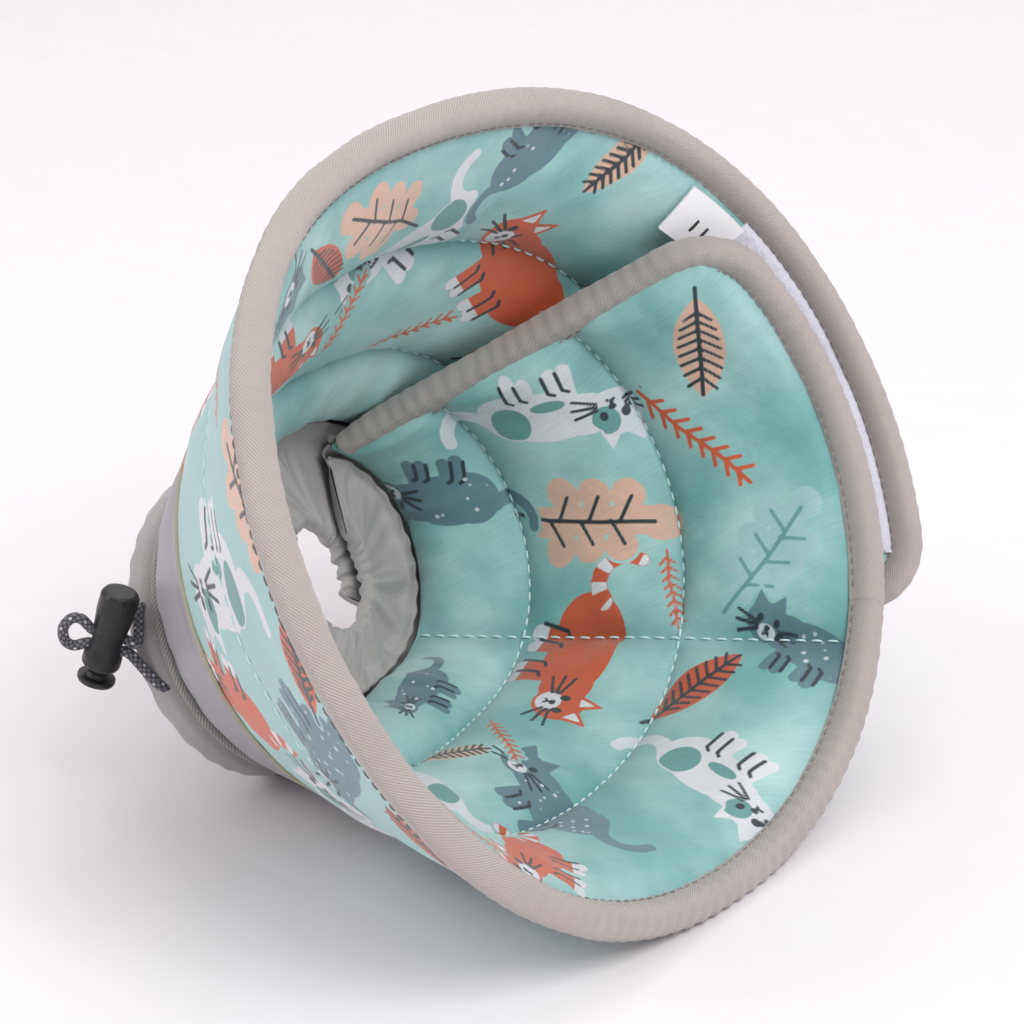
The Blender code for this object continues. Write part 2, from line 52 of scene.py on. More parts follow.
DEPTH, DIP, START, WRAP = 0.1116, math.radians(29.6), math.radians(240.84), 421.0
CENTRE = np.array((0.0443, -0.0050, 0.0869))
QUILT, QUILT_NECK, THIN_FROM, CLOTH_END = 0.0051, 0.0034, 0.875, 0.995
BIND_W, CORNER_R, BIND_END = 0.0085, 0.018, 0.975
BREAKS = (0.0, 42.0, 85.0, 255.0, 300.0, 345.0, WRAP)
HINGE_OUT, STACK = 0.0072, 0.0075
HOLE_CENTRE, HOLE_R, SLEEVE_O = (-0.0040, -0.0295), 0.0148, (0.0002, 0.0029)
PIPING_R, CORD_R = 0.0012, 0.0013
EXIT_LOW, EXIT_HIGH = 210.0, 227.0
LOCK_AT = np.array((-0.0625, -0.0593, 0.0457))
LOCK_DOWN = np.array((-0.2492, -0.1625, -0.9547)); LOCK_DOWN /= np.linalg.norm(LOCK_DOWN)
LOCK_BORE = np.array((-0.7970, -0.5257, 0.2975))
SEAMS = (0.401, 0.747)           # quilting lines, share of the slant
SPOKE = 70.0                     # the one radial seam
FAN_R, FAN_K, SLANT = 0.2326, 0.43, 0.127

AX = np.array((-math.cos(DIP), 0.0, -math.sin(DIP)))
DOWN = np.array((math.sin(DIP), 0.0, -math.cos(DIP)))
SIDE = np.array((0.0, -1.0, 0.0))


def wv(pair, n, a):
    return pair[0] * np.cos(n * a) + pair[1] * np.sin(n * a)


def base(turn, s):
    turn, s = np.broadcast_arrays(np.asarray(turn, float), np.asarray(s, float))
    t = np.radians(turn)
    f = t + START
    g = (t - math.pi) / (2 * math.pi)
    rim = RIM_R * (1 + wv(RIM_OVAL, 2, f) + wv(RIM_TRI, 3, f) + RIM_GROW * g)
    rz = RIM_R * (wv(RIM_WAVE_2, 2, f) + wv(RIM_WAVE_3, 3, f))
    q = f + NECK_TWIST + NECK_TWIST_FLAP * np.exp(-t / 1.2)
    neck = NECK_R * (1 + wv(NECK_OVAL, 2, q) + NECK_GROW * g)
    nz = DEPTH + wv(NECK_TILT, 1, q)
    x = (1 - s) * rim * np.cos(f) + s * (NECK_CENTRE[0] + neck * np.cos(q))
    y = (1 - s) * rim * np.sin(f) + s * (NECK_CENTRE[1] + neck * np.sin(q))
    z = (1 - s) * rz + s * nz
    return CENTRE + x[..., None] * DOWN + y[..., None] * SIDE + z[..., None] * AX


def unit(v):
    return v / np.maximum(1e-12, np.linalg.norm(v, axis=-1, keepdims=True))


def slopes(turn, s):
    turn, s = np.asarray(turn, float), np.asarray(s, float)
    return (base(turn + 0.2, s) - base(turn - 0.2, s)) / 0.4, (base(turn, s + 0.01) - base(turn, s - 0.01)) / 0.02


def normal(turn, s):
    a, b = slopes(turn, s)
    return unit(np.cross(a, b))


def surf(turn, s, out):
    out = np.asarray(out, float)
    return base(turn, s) + normal(turn, s) * out[..., None]


def smooth(x):
    x = np.clip(x, 0, 1)
    return x * x * (3 - 2 * x)


def thick(s):
    return QUILT - (QUILT - QUILT_NECK) * np.clip((np.asarray(s) - THIN_FROM) / (CLOTH_END - THIN_FROM), 0, 1)


def slant(turn):
    return np.linalg.norm(base(turn, 0.0) - base(turn, 1.0), axis=-1)


def corner(turn):
    per = np.linalg.norm(slopes(turn, np.zeros_like(turn))[0], axis=-1)
    x = np.minimum(turn, WRAP - turn) * per
    lift = CORNER_R - np.sqrt(np.maximum(0.0, CORNER_R ** 2 - np.maximum(0.0, CORNER_R - x) ** 2))
    return np.where(x >= CORNER_R, 0.0, lift) / slant(turn)


def fan(turn, s):
    """The same spot on the flat pattern, in metres."""
    r = FAN_R - np.asarray(s) * SLANT
    a = np.radians(np.asarray(turn)) * FAN_K
    return r * np.cos(a), r * np.sin(a)


# ------------------------------------------------------------------ smooth noise, always the same
_rng = np.random.RandomState(7)
_lat = _rng.rand(64, 64, 4)


def noise(x, y, k=0):
    x, y = np.asarray(x, float) + 100.3, np.asarray(y, float) + 57.7
    xi, yi = np.floor(x).astype(int), np.floor(y).astype(int)
    u, v = smooth(x - xi), smooth(y - yi)
    L = _lat[..., k % 4]
    a, b = L[xi % 64, yi % 64], L[(xi + 1) % 64, yi % 64]
    c, d = L[xi % 64, (yi + 1) % 64], L[(xi + 1) % 64, (yi + 1) % 64]
    return (a * (1 - u) + b * u) * (1 - v) + (c * (1 - u) + d * u) * v * 1.0 - 0.5


# ------------------------------------------------------------------ materials
def lin(r, g, b):
    f = lambda v: (v / 255 / 12.92) if v / 255 <= 0.04045 else ((v / 255 + 0.055) / 1.055) ** 2.4
    return (f(r), f(g), f(b), 1.0)


class Nodes:
    def __init__(self, name, rough=0.6, spec=0.4, sheen=0.0, metal=0.0):
        self.m = bpy.data.materials.new(name)
        self.m.use_nodes = True
        self.t = self.m.node_tree
        self.b = self.t.nodes["Principled BSDF"]
        self.b.inputs["Roughness"].default_value = rough
        self.b.inputs["Specular IOR Level"].default_value = spec
        self.b.inputs["Sheen Weight"].default_value = sheen
        self.b.inputs["Sheen Roughness"].default_value = 0.4
        self.b.inputs["Metallic"].default_value = metal

    def n(self, kind, **kw):
        o = self.t.nodes.new(kind)
        for k, v in kw.items():
            if k.startswith("_"):
                o.inputs[k[1:].replace("_", " ")].default_value = v
            else:
                setattr(o, k, v)
        return o

    def l(self, a, b):
        self.t.links.new(a, b)

    def attr(self, name, out="Fac"):
        return self.n("ShaderNodeAttribute", attribute_name=name).outputs[out]

    def math(self, op, a, b=None, c=None):
        o = self.n("ShaderNodeMath", operation=op)
        for i, v in enumerate((a, b, c)):
            if v is None:
                continue
            if isinstance(v, (int, float)):
                o.inputs[i].default_value = v
            else:
                self.l(v, o.inputs[i])
        return o.outputs[0]

    def ramp(self, v, a, b, smoothed=False):
        o = self.n("ShaderNodeMapRange")
        if smoothed:
            o.interpolation_type = "SMOOTHSTEP"
        self.l(v, o.inputs["Value"])
        o.inputs["From Min"].default_value, o.inputs["From Max"].default_value = a, b
        return o.outputs[0]

    def mix(self, f, a, b, kind="MIX"):
        o = self.n("ShaderNodeMix", data_type="RGBA", blend_type=kind)
        for i, v in ((0, f), (6, a), (7, b)):
            if isinstance(v, (int, float, tuple)):
                o.inputs[i].default_value = v
            else:
                self.l(v, o.inputs[i])
        return o.outputs[2]

    def scaled(self, vec, x, y, z=1.0, rot=0.0):
        o = self.n("ShaderNodeMapping")
        o.inputs["Scale"].default_value = (x, y, z)
        o.inputs["Rotation"].default_value = (0, 0, rot)
        self.l(vec, o.inputs["Vector"])
        return o.outputs[0]

    def wave(self, vec, scale=1.0, distort=0.0, detail=0.0, direction="X"):
        o = self.n("ShaderNodeTexWave", bands_direction=direction)
        o.inputs["Scale"].default_value = scale
        o.inputs["Distortion"].default_value = distort
        o.inputs["Detail"].default_value = detail
        self.l(vec, o.inputs["Vector"])
        return o.outputs["Fac"]

    def noise(self, vec, scale, detail=2.0, rough=0.5):
        o = self.n("ShaderNodeTexNoise")
        o.inputs["Scale"].default_value = scale
        o.inputs["Detail"].default_value = detail
        o.inputs["Roughness"].default_value = rough
        self.l(vec, o.inputs["Vector"])
        return o.outputs["Fac"]

    def colour(self, c):
        if isinstance(c, tuple):
            self.b.inputs["Base Color"].default_value = c
        else:
            self.l(c, self.b.inputs["Base Color"])

    def rough(self, v):
        self.l(v, self.b.inputs["Roughness"])

    def bump(self, height, dist, strength=1.0, after=None):
        o = self.n("ShaderNodeBump")
        o.inputs["Strength"].default_value = strength
        o.inputs["Distance"].default_value = dist
        self.l(height, o.inputs["Height"])
        if after is not None:
            self.l(after, o.inputs["Normal"])
        self.l(o.outputs[0], self.b.inputs["Normal"])
        return o.outputs[0]


INKS = ("pale", "peach", "slate", "orange", "white", "patch", "ink")


def printed(name, satin_fold_shade_light, gain):
    """Satin with the print: each ink is a distance field on the mesh, drawn where it is under zero."""
    n = Nodes(name, rough=0.36, spec=0.55, sheen=0.3)
    v = n.attr("fan", "Vector")
    # painted shade and painted highlight of the satin folds: a broad noise blends between the two satin tones, the
    # shaded one and the lit one
    soft = n.noise(v, 22.0, 3.0, 0.55)
    col = n.mix(n.ramp(soft, 0.3, 0.7, True), satin_fold_shade_light[0], satin_fold_shade_light[1])
    fade = n.noise(v, 300.0, 2.0)
    table = {"pale": lin(176, 216, 216), "peach": lin(240, 196, 172), "slate": lin(104, 142, 152), "orange": lin(226, 100, 62),
             "white": lin(240, 241, 244), "patch": lin(112, 170, 164), "ink": lin(42, 58, 66)}
    for key in INKS:
        edge = n.math("MULTIPLY_ADD", fade, 0.00010, n.attr(key))
        col = n.mix(n.ramp(edge, 0.00022, -0.00012), col, table[key])
    # white specks on the slate animals
    vor = n.n("ShaderNodeTexVoronoi")
    vor.inputs["Scale"].default_value = 340.0
    vor.inputs["Randomness"].default_value = 0.75
    n.l(v, vor.inputs["Vector"])
    speck = n.math("MULTIPLY", n.ramp(vor.outputs["Distance"], 0.26, 0.18), n.ramp(n.attr("slate"), -0.0012, -0.0018))
    speck = n.math("MULTIPLY", speck, n.attr("dots"))
    col = n.mix(speck, col, lin(225, 232, 236))
    # painted shade in the quilt hollows between the puffs: the colour is multiplied towards a deep teal there
    dark = n.math("MULTIPLY", n.ramp(n.attr("hollow"), 0.15, 0.9, True), 0.72)
    col = n.mix(dark, col, n.mix(1.0, col, (0.62, 0.72, 0.74, 1), "MULTIPLY"))
    # weft: long fine streaks
    streak = n.noise(n.scaled(v, 60.0, 2600.0), 1.0, 2.0, 0.6)
    col = n.mix(n.ramp(streak, 0.35, 0.75), n.mix(1.0, col, (0.86, 0.87, 0.88, 1), "MULTIPLY"), col)
    n.colour(col)
    n.rough(n.math("MULTIPLY_ADD", streak, 0.25, 0.24))
    weft = n.wave(n.scaled(v, 1.0, 1.0), 1250.0, 1.2, 1.0, "Y")
    warp = n.wave(n.scaled(v, 1.0, 1.0), 900.0, 0.6, 0.0, "X")
    w = n.math("ADD", n.math("MULTIPLY", weft, 0.7), n.math("MULTIPLY", warp, 0.3))
    w = n.math("ADD", w, n.math("MULTIPLY", streak, 0.9))
    first = n.bump(w, 0.00009, 0.7)
    crease = n.noise(n.scaled(v, 1.0, 1.0), 80.0, 3.0, 0.55)
    n.bump(crease, 0.0018, 0.5, first)
    return n.m


def twill(name, light, dark, pitch=0.0011, angle=0.9, depth=0.00016, rough=0.85, sheen=0.3):
    """Woven tape with a diagonal rib. The attribute weave holds metres along and across."""
    n = Nodes(name, rough=rough, spec=0.2, sheen=sheen)
    v = n.attr("weave", "Vector")
    rib = n.wave(n.scaled(v, 1.0, 1.0, 1.0, angle), 1.0 / pitch * 0.314, 0.5, 1.0, "X")
    cross = n.wave(n.scaled(v, 1.0, 1.0, 1.0, angle + 1.45), 1.0 / pitch * 0.55, 0.4, 1.0, "X")
    yarn = n.noise(v, 2600.0, 3.0, 0.65)
    tone = n.noise(v, 55.0, 3.0, 0.5)
    f = n.math("ADD", n.math("MULTIPLY", rib, 0.55), n.math("MULTIPLY", yarn, 0.45))
    col = n.mix(n.ramp(f, 0.1, 0.8), dark, light)
    col = n.mix(n.math("MULTIPLY", n.ramp(tone, 0.4, 0.75), 0.25), col, dark)
    n.colour(col)
    h = n.math("ADD", n.math("MULTIPLY", rib, 0.7), n.math("MULTIPLY", cross, 0.3))
    h = n.math("ADD", h, n.math("MULTIPLY", yarn, 0.5))
    n.bump(h, depth, 0.8)
    return n.m


def plain(name, c0, c1, rough=0.8, scale=1500.0, depth=0.00012, spec=0.3, sheen=0.2, metal=0.0, big=40.0):
    n = Nodes(name, rough=rough, spec=spec, sheen=sheen, metal=metal)
    tc = n.n("ShaderNodeTexCoord").outputs["Object"]
    a = n.noise(tc, scale, 3.0, 0.6)
    b = n.noise(tc, big, 2.0)
    f = n.math("ADD", n.math("MULTIPLY", a, 0.6), n.math("MULTIPLY", b, 0.4))
    n.colour(n.mix(n.ramp(f, 0.3, 0.7), c0, c1))
    n.bump(a, depth, 0.7)
    return n.m


M = {
    # each satin pair runs from a painted fold shade to a painted fold highlight
    "lining": printed("lining_satin", (lin(124, 190, 185), lin(196, 235, 230)), 1.0),
    "shell": printed("shell_satin", (lin(166, 212, 208), lin(176, 219, 215)), 1.0),
    "binding": twill("binding_twill", lin(196, 188, 183), lin(160, 152, 148), 0.00058),
    "sleeve": plain("sleeve_cloth", lin(156, 153, 151), lin(186, 183, 181), 0.75, 2400.0, 0.00009, 0.25, 0.3, 0.0, 60.0),
    "piping": twill("piping_twill", lin(190, 184, 180), lin(120, 115, 112), 0.0008, 0.8),
    "strip": plain("reflective_strip", lin(142, 140, 144), lin(158, 156, 160), 0.42, 900.0, 0.00003, 0.5, 0.0),
    "edge": plain("strip_edge_thread", lin(172, 164, 142), lin(192, 184, 160), 0.8, 2500.0),
    "stitch": plain("quilting_thread", lin(196, 232, 230), lin(226, 245, 243), 0.6, 2500.0, 0.00006),
    "stitch_grey": plain("binding_thread", lin(128, 124, 123), lin(152, 148, 146), 0.7, 2500.0, 0.00006),
    "loop": plain("loop_pad_fuzz", lin(204, 205, 218), lin(232, 232, 240), 0.95, 1100.0, 0.0005, 0.1, 0.8),
    "hook": plain("hook_pad", lin(150, 152, 162), lin(182, 184, 192), 0.7, 900.0, 0.0004),
    "label": plain("label_satin", lin(236, 236, 240), lin(248, 248, 250), 0.45, 2200.0, 0.00005, 0.4),
    "mark": plain("label_mark", lin(40, 42, 46), lin(60, 62, 66), 0.6),
    "lock": plain("lock_plastic", lin(22, 22, 24), lin(36, 36, 39), 0.38, 1400.0, 0.00004, 0.45, 0.0),
    "steel": plain("spring_steel", lin(170, 170, 172), lin(190, 190, 192), 0.3, 800.0, 0.00002, 0.5, 0.0, 1.0),
    "padding": plain("padding_fleece", lin(228, 228, 224), lin(240, 240, 238), 0.95, 500.0, 0.0004, 0.1, 0.5),
}


def braid(name):
    n = Nodes(name, rough=0.75, spec=0.25, sheen=0.2)
    v = n.attr("weave", "Vector")      # x metres along, y turns round
    sep = n.n("ShaderNodeSeparateXYZ")
    n.l(v, sep.inputs[0])
    x = n.math("MULTIPLY", sep.outputs[0], 620.0)
    y = n.math("MULTIPLY", sep.outputs[1], 5.0)
    a = n.math("SINE", n.math("MULTIPLY", n.math("ADD", x, y), 3.14159))
    b = n.math("SINE", n.math("MULTIPLY", n.math("SUBTRACT", x, y), 3.14159))
    h = n.math("ABSOLUTE", n.math("MULTIPLY", a, b))
    fleck = n.math("MULTIPLY", n.ramp(n.math("ADD", a, b), 1.35, 1.7), n.ramp(n.noise(n.scaled(v, 900.0, 3.0), 1.0, 1.0), 0.40, 0.5))
    col = n.mix(n.ramp(h, 0.0, 0.7), lin(62, 62, 68), lin(124, 123, 130))
    n.colour(n.mix(fleck, col, lin(205, 205, 208)))
    n.bump(h, 0.00025, 0.8)
    return n.m


M["cord"] = braid("drawcord_braid")
_stage_m = plain("floor_paper", lin(238, 234, 237), lin(240, 237, 240), 0.9, 60.0, 0.00001, 0.1, 0.0)

# ------------------------------------------------------------------ mesh helpers
col = bpy.data.collections.new("visual")
bpy.context.scene.collection.children.link(col)


def mesh(name, verts, faces, mat, attrs=None, mats=None, shade=True):
    me = bpy.data.meshes.new(name)
    me.from_pydata(np.asarray(verts).tolist(), [], faces if isinstance(faces, list) else faces.tolist())
    for m in ([mat] if mats is None else mats):
        me.materials.append(m)
    for k, v in (attrs or {}).items():
        v = np.asarray(v, np.float32)
        if v.ndim == 1:
            a = me.attributes.new(k, "FLOAT", "POINT")
            a.data.foreach_set("value", v)
        else:
            a = me.attributes.new(k, "FLOAT_VECTOR", "POINT")
            a.data.foreach_set("vector", v.ravel())
    if shade:
        me.shade_smooth()
        me.set_sharp_from_angle(angle=math.radians(62))
    me.update()
    ob = bpy.data.objects.new(name, me)
    col.objects.link(ob)
    return ob


def grid_faces(ni, nj, start=0, flip=False, wrap=False):
    i, j = np.meshgrid(np.arange(ni - 1), np.arange(nj if wrap else nj - 1), indexing="ij")
    a = start + i * nj + j
    j2 = (j + 1) % nj if wrap else j + 1
    b = start + (i + 1) * nj + j
    c = start + (i + 1) * nj + j2
    d = start + i * nj + j2
    f = np.stack([a, b, c, d], -1).reshape(-1, 4)
    return f[:, ::-1] if flip else f


def closed_sweep(name, rings, mat, attrs=None, mats=None):
    """rings: (n, m, 3) closed cross-sections in order; capped at both ends."""
    n, m = rings.shape[:2]
    f = grid_faces(n, m, wrap=True).tolist()
    f.append(list(range(m))[::-1])
    f.append([(n - 1) * m + k for k in range(m)])
    ob = mesh(name, rings.reshape(-1, 3), f, mat, attrs, mats)
    bm = bmesh.new()
    bm.from_mesh(ob.data)
    bmesh.ops.recalc_face_normals(bm, faces=bm.faces)
    bm.to_mesh(ob.data)
    bm.free()
    ob.data.set_sharp_from_angle(angle=math.radians(62))
    return ob


# ------------------------------------------------------------------ turn range of each wrap piece
MID = [0.0, 63.5, 170.0, 277.5, 322.5, WRAP]


def bend(ob, k):
    a, b = surf(BREAKS[k], 0.0, HINGE_OUT), surf(BREAKS[k], 1.0, HINGE_OUT)
    axis = unit(b - a)
    t = slopes(BREAKS[k], 0.5)[0]
    t = unit(t - axis * np.dot(t, axis))
    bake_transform(ob)


def even(a, b, step):
    n = max(2, int(math.ceil((b - a) / step)))
    return np.linspace(a, b, n + 1)


def piece_turns(k, mm):
    """Even turns for piece k (1..5), with close ones round the rounded corners."""
    a, b = MID[k - 1], MID[k]
    per = 0.00165
    step = mm / per
    if k == 1:
        c = CORNER_R / np.linalg.norm(slopes(0.0, 0.0)[0])
        x = c * (1 - np.cos(np.radians(np.arange(0, 90.1, 3.0))))
        return np.concatenate([x, even(x[-1], b, step)[1:]])
    if k == 5:
        c = CORNER_R / np.linalg.norm(slopes(WRAP, 0.0)[0])
        x = WRAP - c * (1 - np.cos(np.radians(np.arange(0, 90.1, 3.0))))[::-1]
        return np.concatenate([even(a, x[0], step)[:-1], x])
    return even(a, b, step)


# ------------------------------------------------------------------ print: own silhouettes on the flat pattern
def seg(px, py, a, b):
    ax, ay = a
    dx, dy = b[0] - ax, b[1] - ay
    L = dx * dx + dy * dy + 1e-12
    t = np.clip(((px - ax) * dx + (py - ay) * dy) / L, 0, 1)
    return np.hypot(px - ax - t * dx, py - ay - t * dy)


def capsule(px, py, pts, r0, r1=None):
    r1 = r0 if r1 is None else r1
    d = np.full(px.shape, 9.0)
    n = len(pts) - 1
    for i in range(n):
        r = r0 + (r1 - r0) * (i + 0.5) / n
        d = np.minimum(d, seg(px, py, pts[i], pts[i + 1]) - r)
    return d


def ellipse(px, py, c, rx, ry, rot=0.0):
    x, y = px - c[0], py - c[1]
    if rot:
        cr, sr = math.cos(rot), math.sin(rot)
        x, y = x * cr + y * sr, -x * sr + y * cr
    k = np.sqrt((x / rx) ** 2 + (y / ry) ** 2)
    g = np.sqrt((x / rx ** 2) ** 2 + (y / ry ** 2) ** 2) + 1e-9
    return np.where(k > 0, k * (k - 1) / g, -min(rx, ry))


def tri(px, py, a, b, c):
    pts = [a, b, c]
    area = (b[0] - a[0]) * (c[1] - a[1]) - (b[1] - a[1]) * (c[0] - a[0])
    if area < 0:
        pts = [a, c, b]
    d = np.full(px.shape, -9.0)
    for i in range(3):
        p, q = pts[i], pts[(i + 1) % 3]
        ex, ey = q[0] - p[0], q[1] - p[1]
        L = math.hypot(ex, ey)
        d = np.maximum(d, ((px - p[0]) * ey - (py - p[1]) * ex) / L)
    return d


def arc(c, r, a0, a1, n=10):
    return [(c[0] + r * math.cos(math.radians(a0 + (a1 - a0) * i / n)), c[1] + r * math.sin(math.radians(a0 + (a1 - a0) * i / n))) for i in range(n + 1)]


def cat(F, x, y, body, kind):
    """A lying cat, 1 unit = its half length: head at +x, tail at -x. All own shapes."""
    e = lambda *a: ellipse(x, y, *a)
    s = F["s"]
    q = 0.00046 / s
    d = e((-0.05, 0.0), 0.62, 0.36, 0.12)
    d = np.minimum(d, e((-0.38, -0.05), 0.38, 0.36))
    head = e((0.72, 0.14), 0.30, 0.27)
    head = np.minimum(head, tri(x, y, (0.50, 0.26), (0.60, 0.58), (0.76, 0.36)))
    head = np.minimum(head, tri(x, y, (0.74, 0.36), (0.96, 0.54), (0.98, 0.20)))
    neck = e((0.40, 0.08), 0.34, 0.27)
    legs = capsule(x, y, [(-0.30, -0.25), (-0.26, -0.58)], 0.09)
    for lx in (-0.12, 0.18, 0.34):
        legs = np.minimum(legs, capsule(x, y, [(lx, -0.2), (lx + 0.03, -0.56)], 0.08))
    tail = capsule(x, y, [(-0.70, 0.0)] + arc((-0.92, 0.22), 0.30, -40, -190 if kind != "up" else 110, 8), 0.10, 0.07)
    whole = np.minimum(np.minimum(np.minimum(d, head), neck), np.minimum(legs, tail))
    F[body] = np.minimum(F[body], whole * s)
    ink = capsule(x, y, [(0.86, 0.10), (1.16, 0.16)], q)
    for a, b in (((0.86, 0.06), (1.15, 0.03)), ((0.85, 0.02), (1.10, -0.10)), ((0.56, 0.08), (0.30, 0.14)), ((0.56, 0.04), (0.29, 0.02)), ((0.57, 0.0), (0.33, -0.10))):
        ink = np.minimum(ink, capsule(x, y, [a, b], q))
    ink = np.minimum(ink, e((0.61, 0.17), 0.046, 0.058))
    ink = np.minimum(ink, e((0.84, 0.17), 0.046, 0.058))
    ink = np.minimum(ink, e((0.725, 0.075), 0.045, 0.034))
    ink = np.minimum(ink, capsule(x, y, [(0.725, 0.06), (0.725, 0.02), (0.69, -0.01)], q * 0.9))
    ink = np.minimum(ink, capsule(x, y, [(0.725, 0.02), (0.76, -0.01)], q * 0.9))
    for lx in (-0.36, -0.20, 0.12, 0.28):
        ink = np.minimum(ink, capsule(x, y, [(lx, -0.56), (lx + 0.01, -0.30), (lx + 0.07, -0.26)], q * 1.15))
    F["ink"] = np.minimum(F["ink"], ink * s)
    if body == "orange":
        w = e((0.72, 0.03), 0.17, 0.13)
        w = np.minimum(w, tri(x, y, (0.56, 0.32), (0.61, 0.50), (0.69, 0.36)))
        w = np.minimum(w, tri(x, y, (0.80, 0.36), (0.92, 0.47), (0.93, 0.27)))
        band = np.abs(((np.degrees(np.arctan2(y - 0.22, x + 0.92)) % 46.0) - 23.0)) / 57.3 * 0.3 - 0.055
        w = np.minimum(w, np.maximum(tail + 0.005, band))
        w = np.minimum(w, np.maximum(legs, y + 0.50))
        F["white"] = np.minimum(F["white"], w * s)
    elif body == "white":
        w = np.maximum(e((-0.42, 0.06), 0.22, 0.26), whole + 0.02)
        w = np.minimum(w, np.maximum(e((0.62, 0.22), 0.15, 0.17), head + 0.03))
        w = np.minimum(w, np.maximum(e((0.06, -0.12), 0.20, 0.08), whole + 0.02))
        F["patch"] = np.minimum(F["patch"], w * s)
    else:
        w = e((0.72, 0.02), 0.13, 0.10)
        F["white"] = np.minimum(F["white"], w * s)
        F["dots"] = np.maximum(F["dots"], (whole < 0.05).astype(float) * (1 - (head < 0.02)))
        F["slate"] = F["slate"]


def oak(F, x, y, body, kind):
    s = F["s"]
    d = capsule(x, y, [(-0.7, 0.0), (0.8, 0.0)], 0.16, 0.20)
    for i, lx in enumerate((-0.45, -0.05, 0.35)):
        r = 0.24 - 0.02 * i
        d = np.minimum(d, ellipse(x, y, (lx, 0.32), 0.20, r, 0.3))
        d = np.minimum(d, ellipse(x, y, (lx + 0.12, -0.32), 0.20, r, -0.3))
    d = np.minimum(d, ellipse(x, y, (0.82, 0.03), 0.24, 0.22))
    F[body] = np.minimum(F[body], d * s)
    v = capsule(x, y, [(-1.05, -0.10), (-0.6, -0.02), (0.1, 0.02), (0.75, 0.02)], 0.00055 / s)
    for lx in (-0.45, -0.05, 0.35):
        v = np.minimum(v, capsule(x, y, [(lx - 0.12, 0.0), (lx + 0.04, 0.30)], 0.00050 / s))
        v = np.minimum(v, capsule(x, y, [(lx, 0.0), (lx + 0.16, -0.30)], 0.00050 / s))
    key = "vein_slate"
    F["ink" if body != "pale" else "patch"] = np.minimum(F["ink" if body != "pale" else "patch"], v * s)


def almond(F, x, y, body, kind):
    s = F["s"]
    d = np.maximum(ellipse(x, y, (0, -0.62), 1.15, 0.98), ellipse(x, y, (0, 0.62), 1.15, 0.98))
    F[body] = np.minimum(F[body], d * s)
    v = capsule(x, y, [(-1.05, 0.0), (0.85, 0.0)], 0.00055 / s)
    for i in range(8):
        lx = -0.62 + i * 0.17
        r = 0.26 * (1 - (abs(lx) / 0.95) ** 2) + 0.04
        v = np.minimum(v, capsule(x, y, [(lx, 0.0), (lx + 0.16, r)], 0.00048 / s))
        v = np.minimum(v, capsule(x, y, [(lx, 0.0), (lx + 0.16, -r)], 0.00048 / s))
    F["ink"] = np.minimum(F["ink"], v * s)


def sprig(F, x, y, body, kind):
    s = F["s"]
    v = capsule(x, y, [(-1.0, -0.06), (-0.3, 0.03), (0.4, 0.0), (1.0, 0.05)], 0.032)
    for i in range(8):
        lx = -0.8 + i * 0.22
        v = np.minimum(v, capsule(x, y, [(lx, 0.0), (lx + 0.17, 0.17)], 0.030))
        v = np.minimum(v, capsule(x, y, [(lx, 0.0), (lx + 0.14, -0.18)], 0.030))
    F[body] = np.minimum(F[body], v * s)


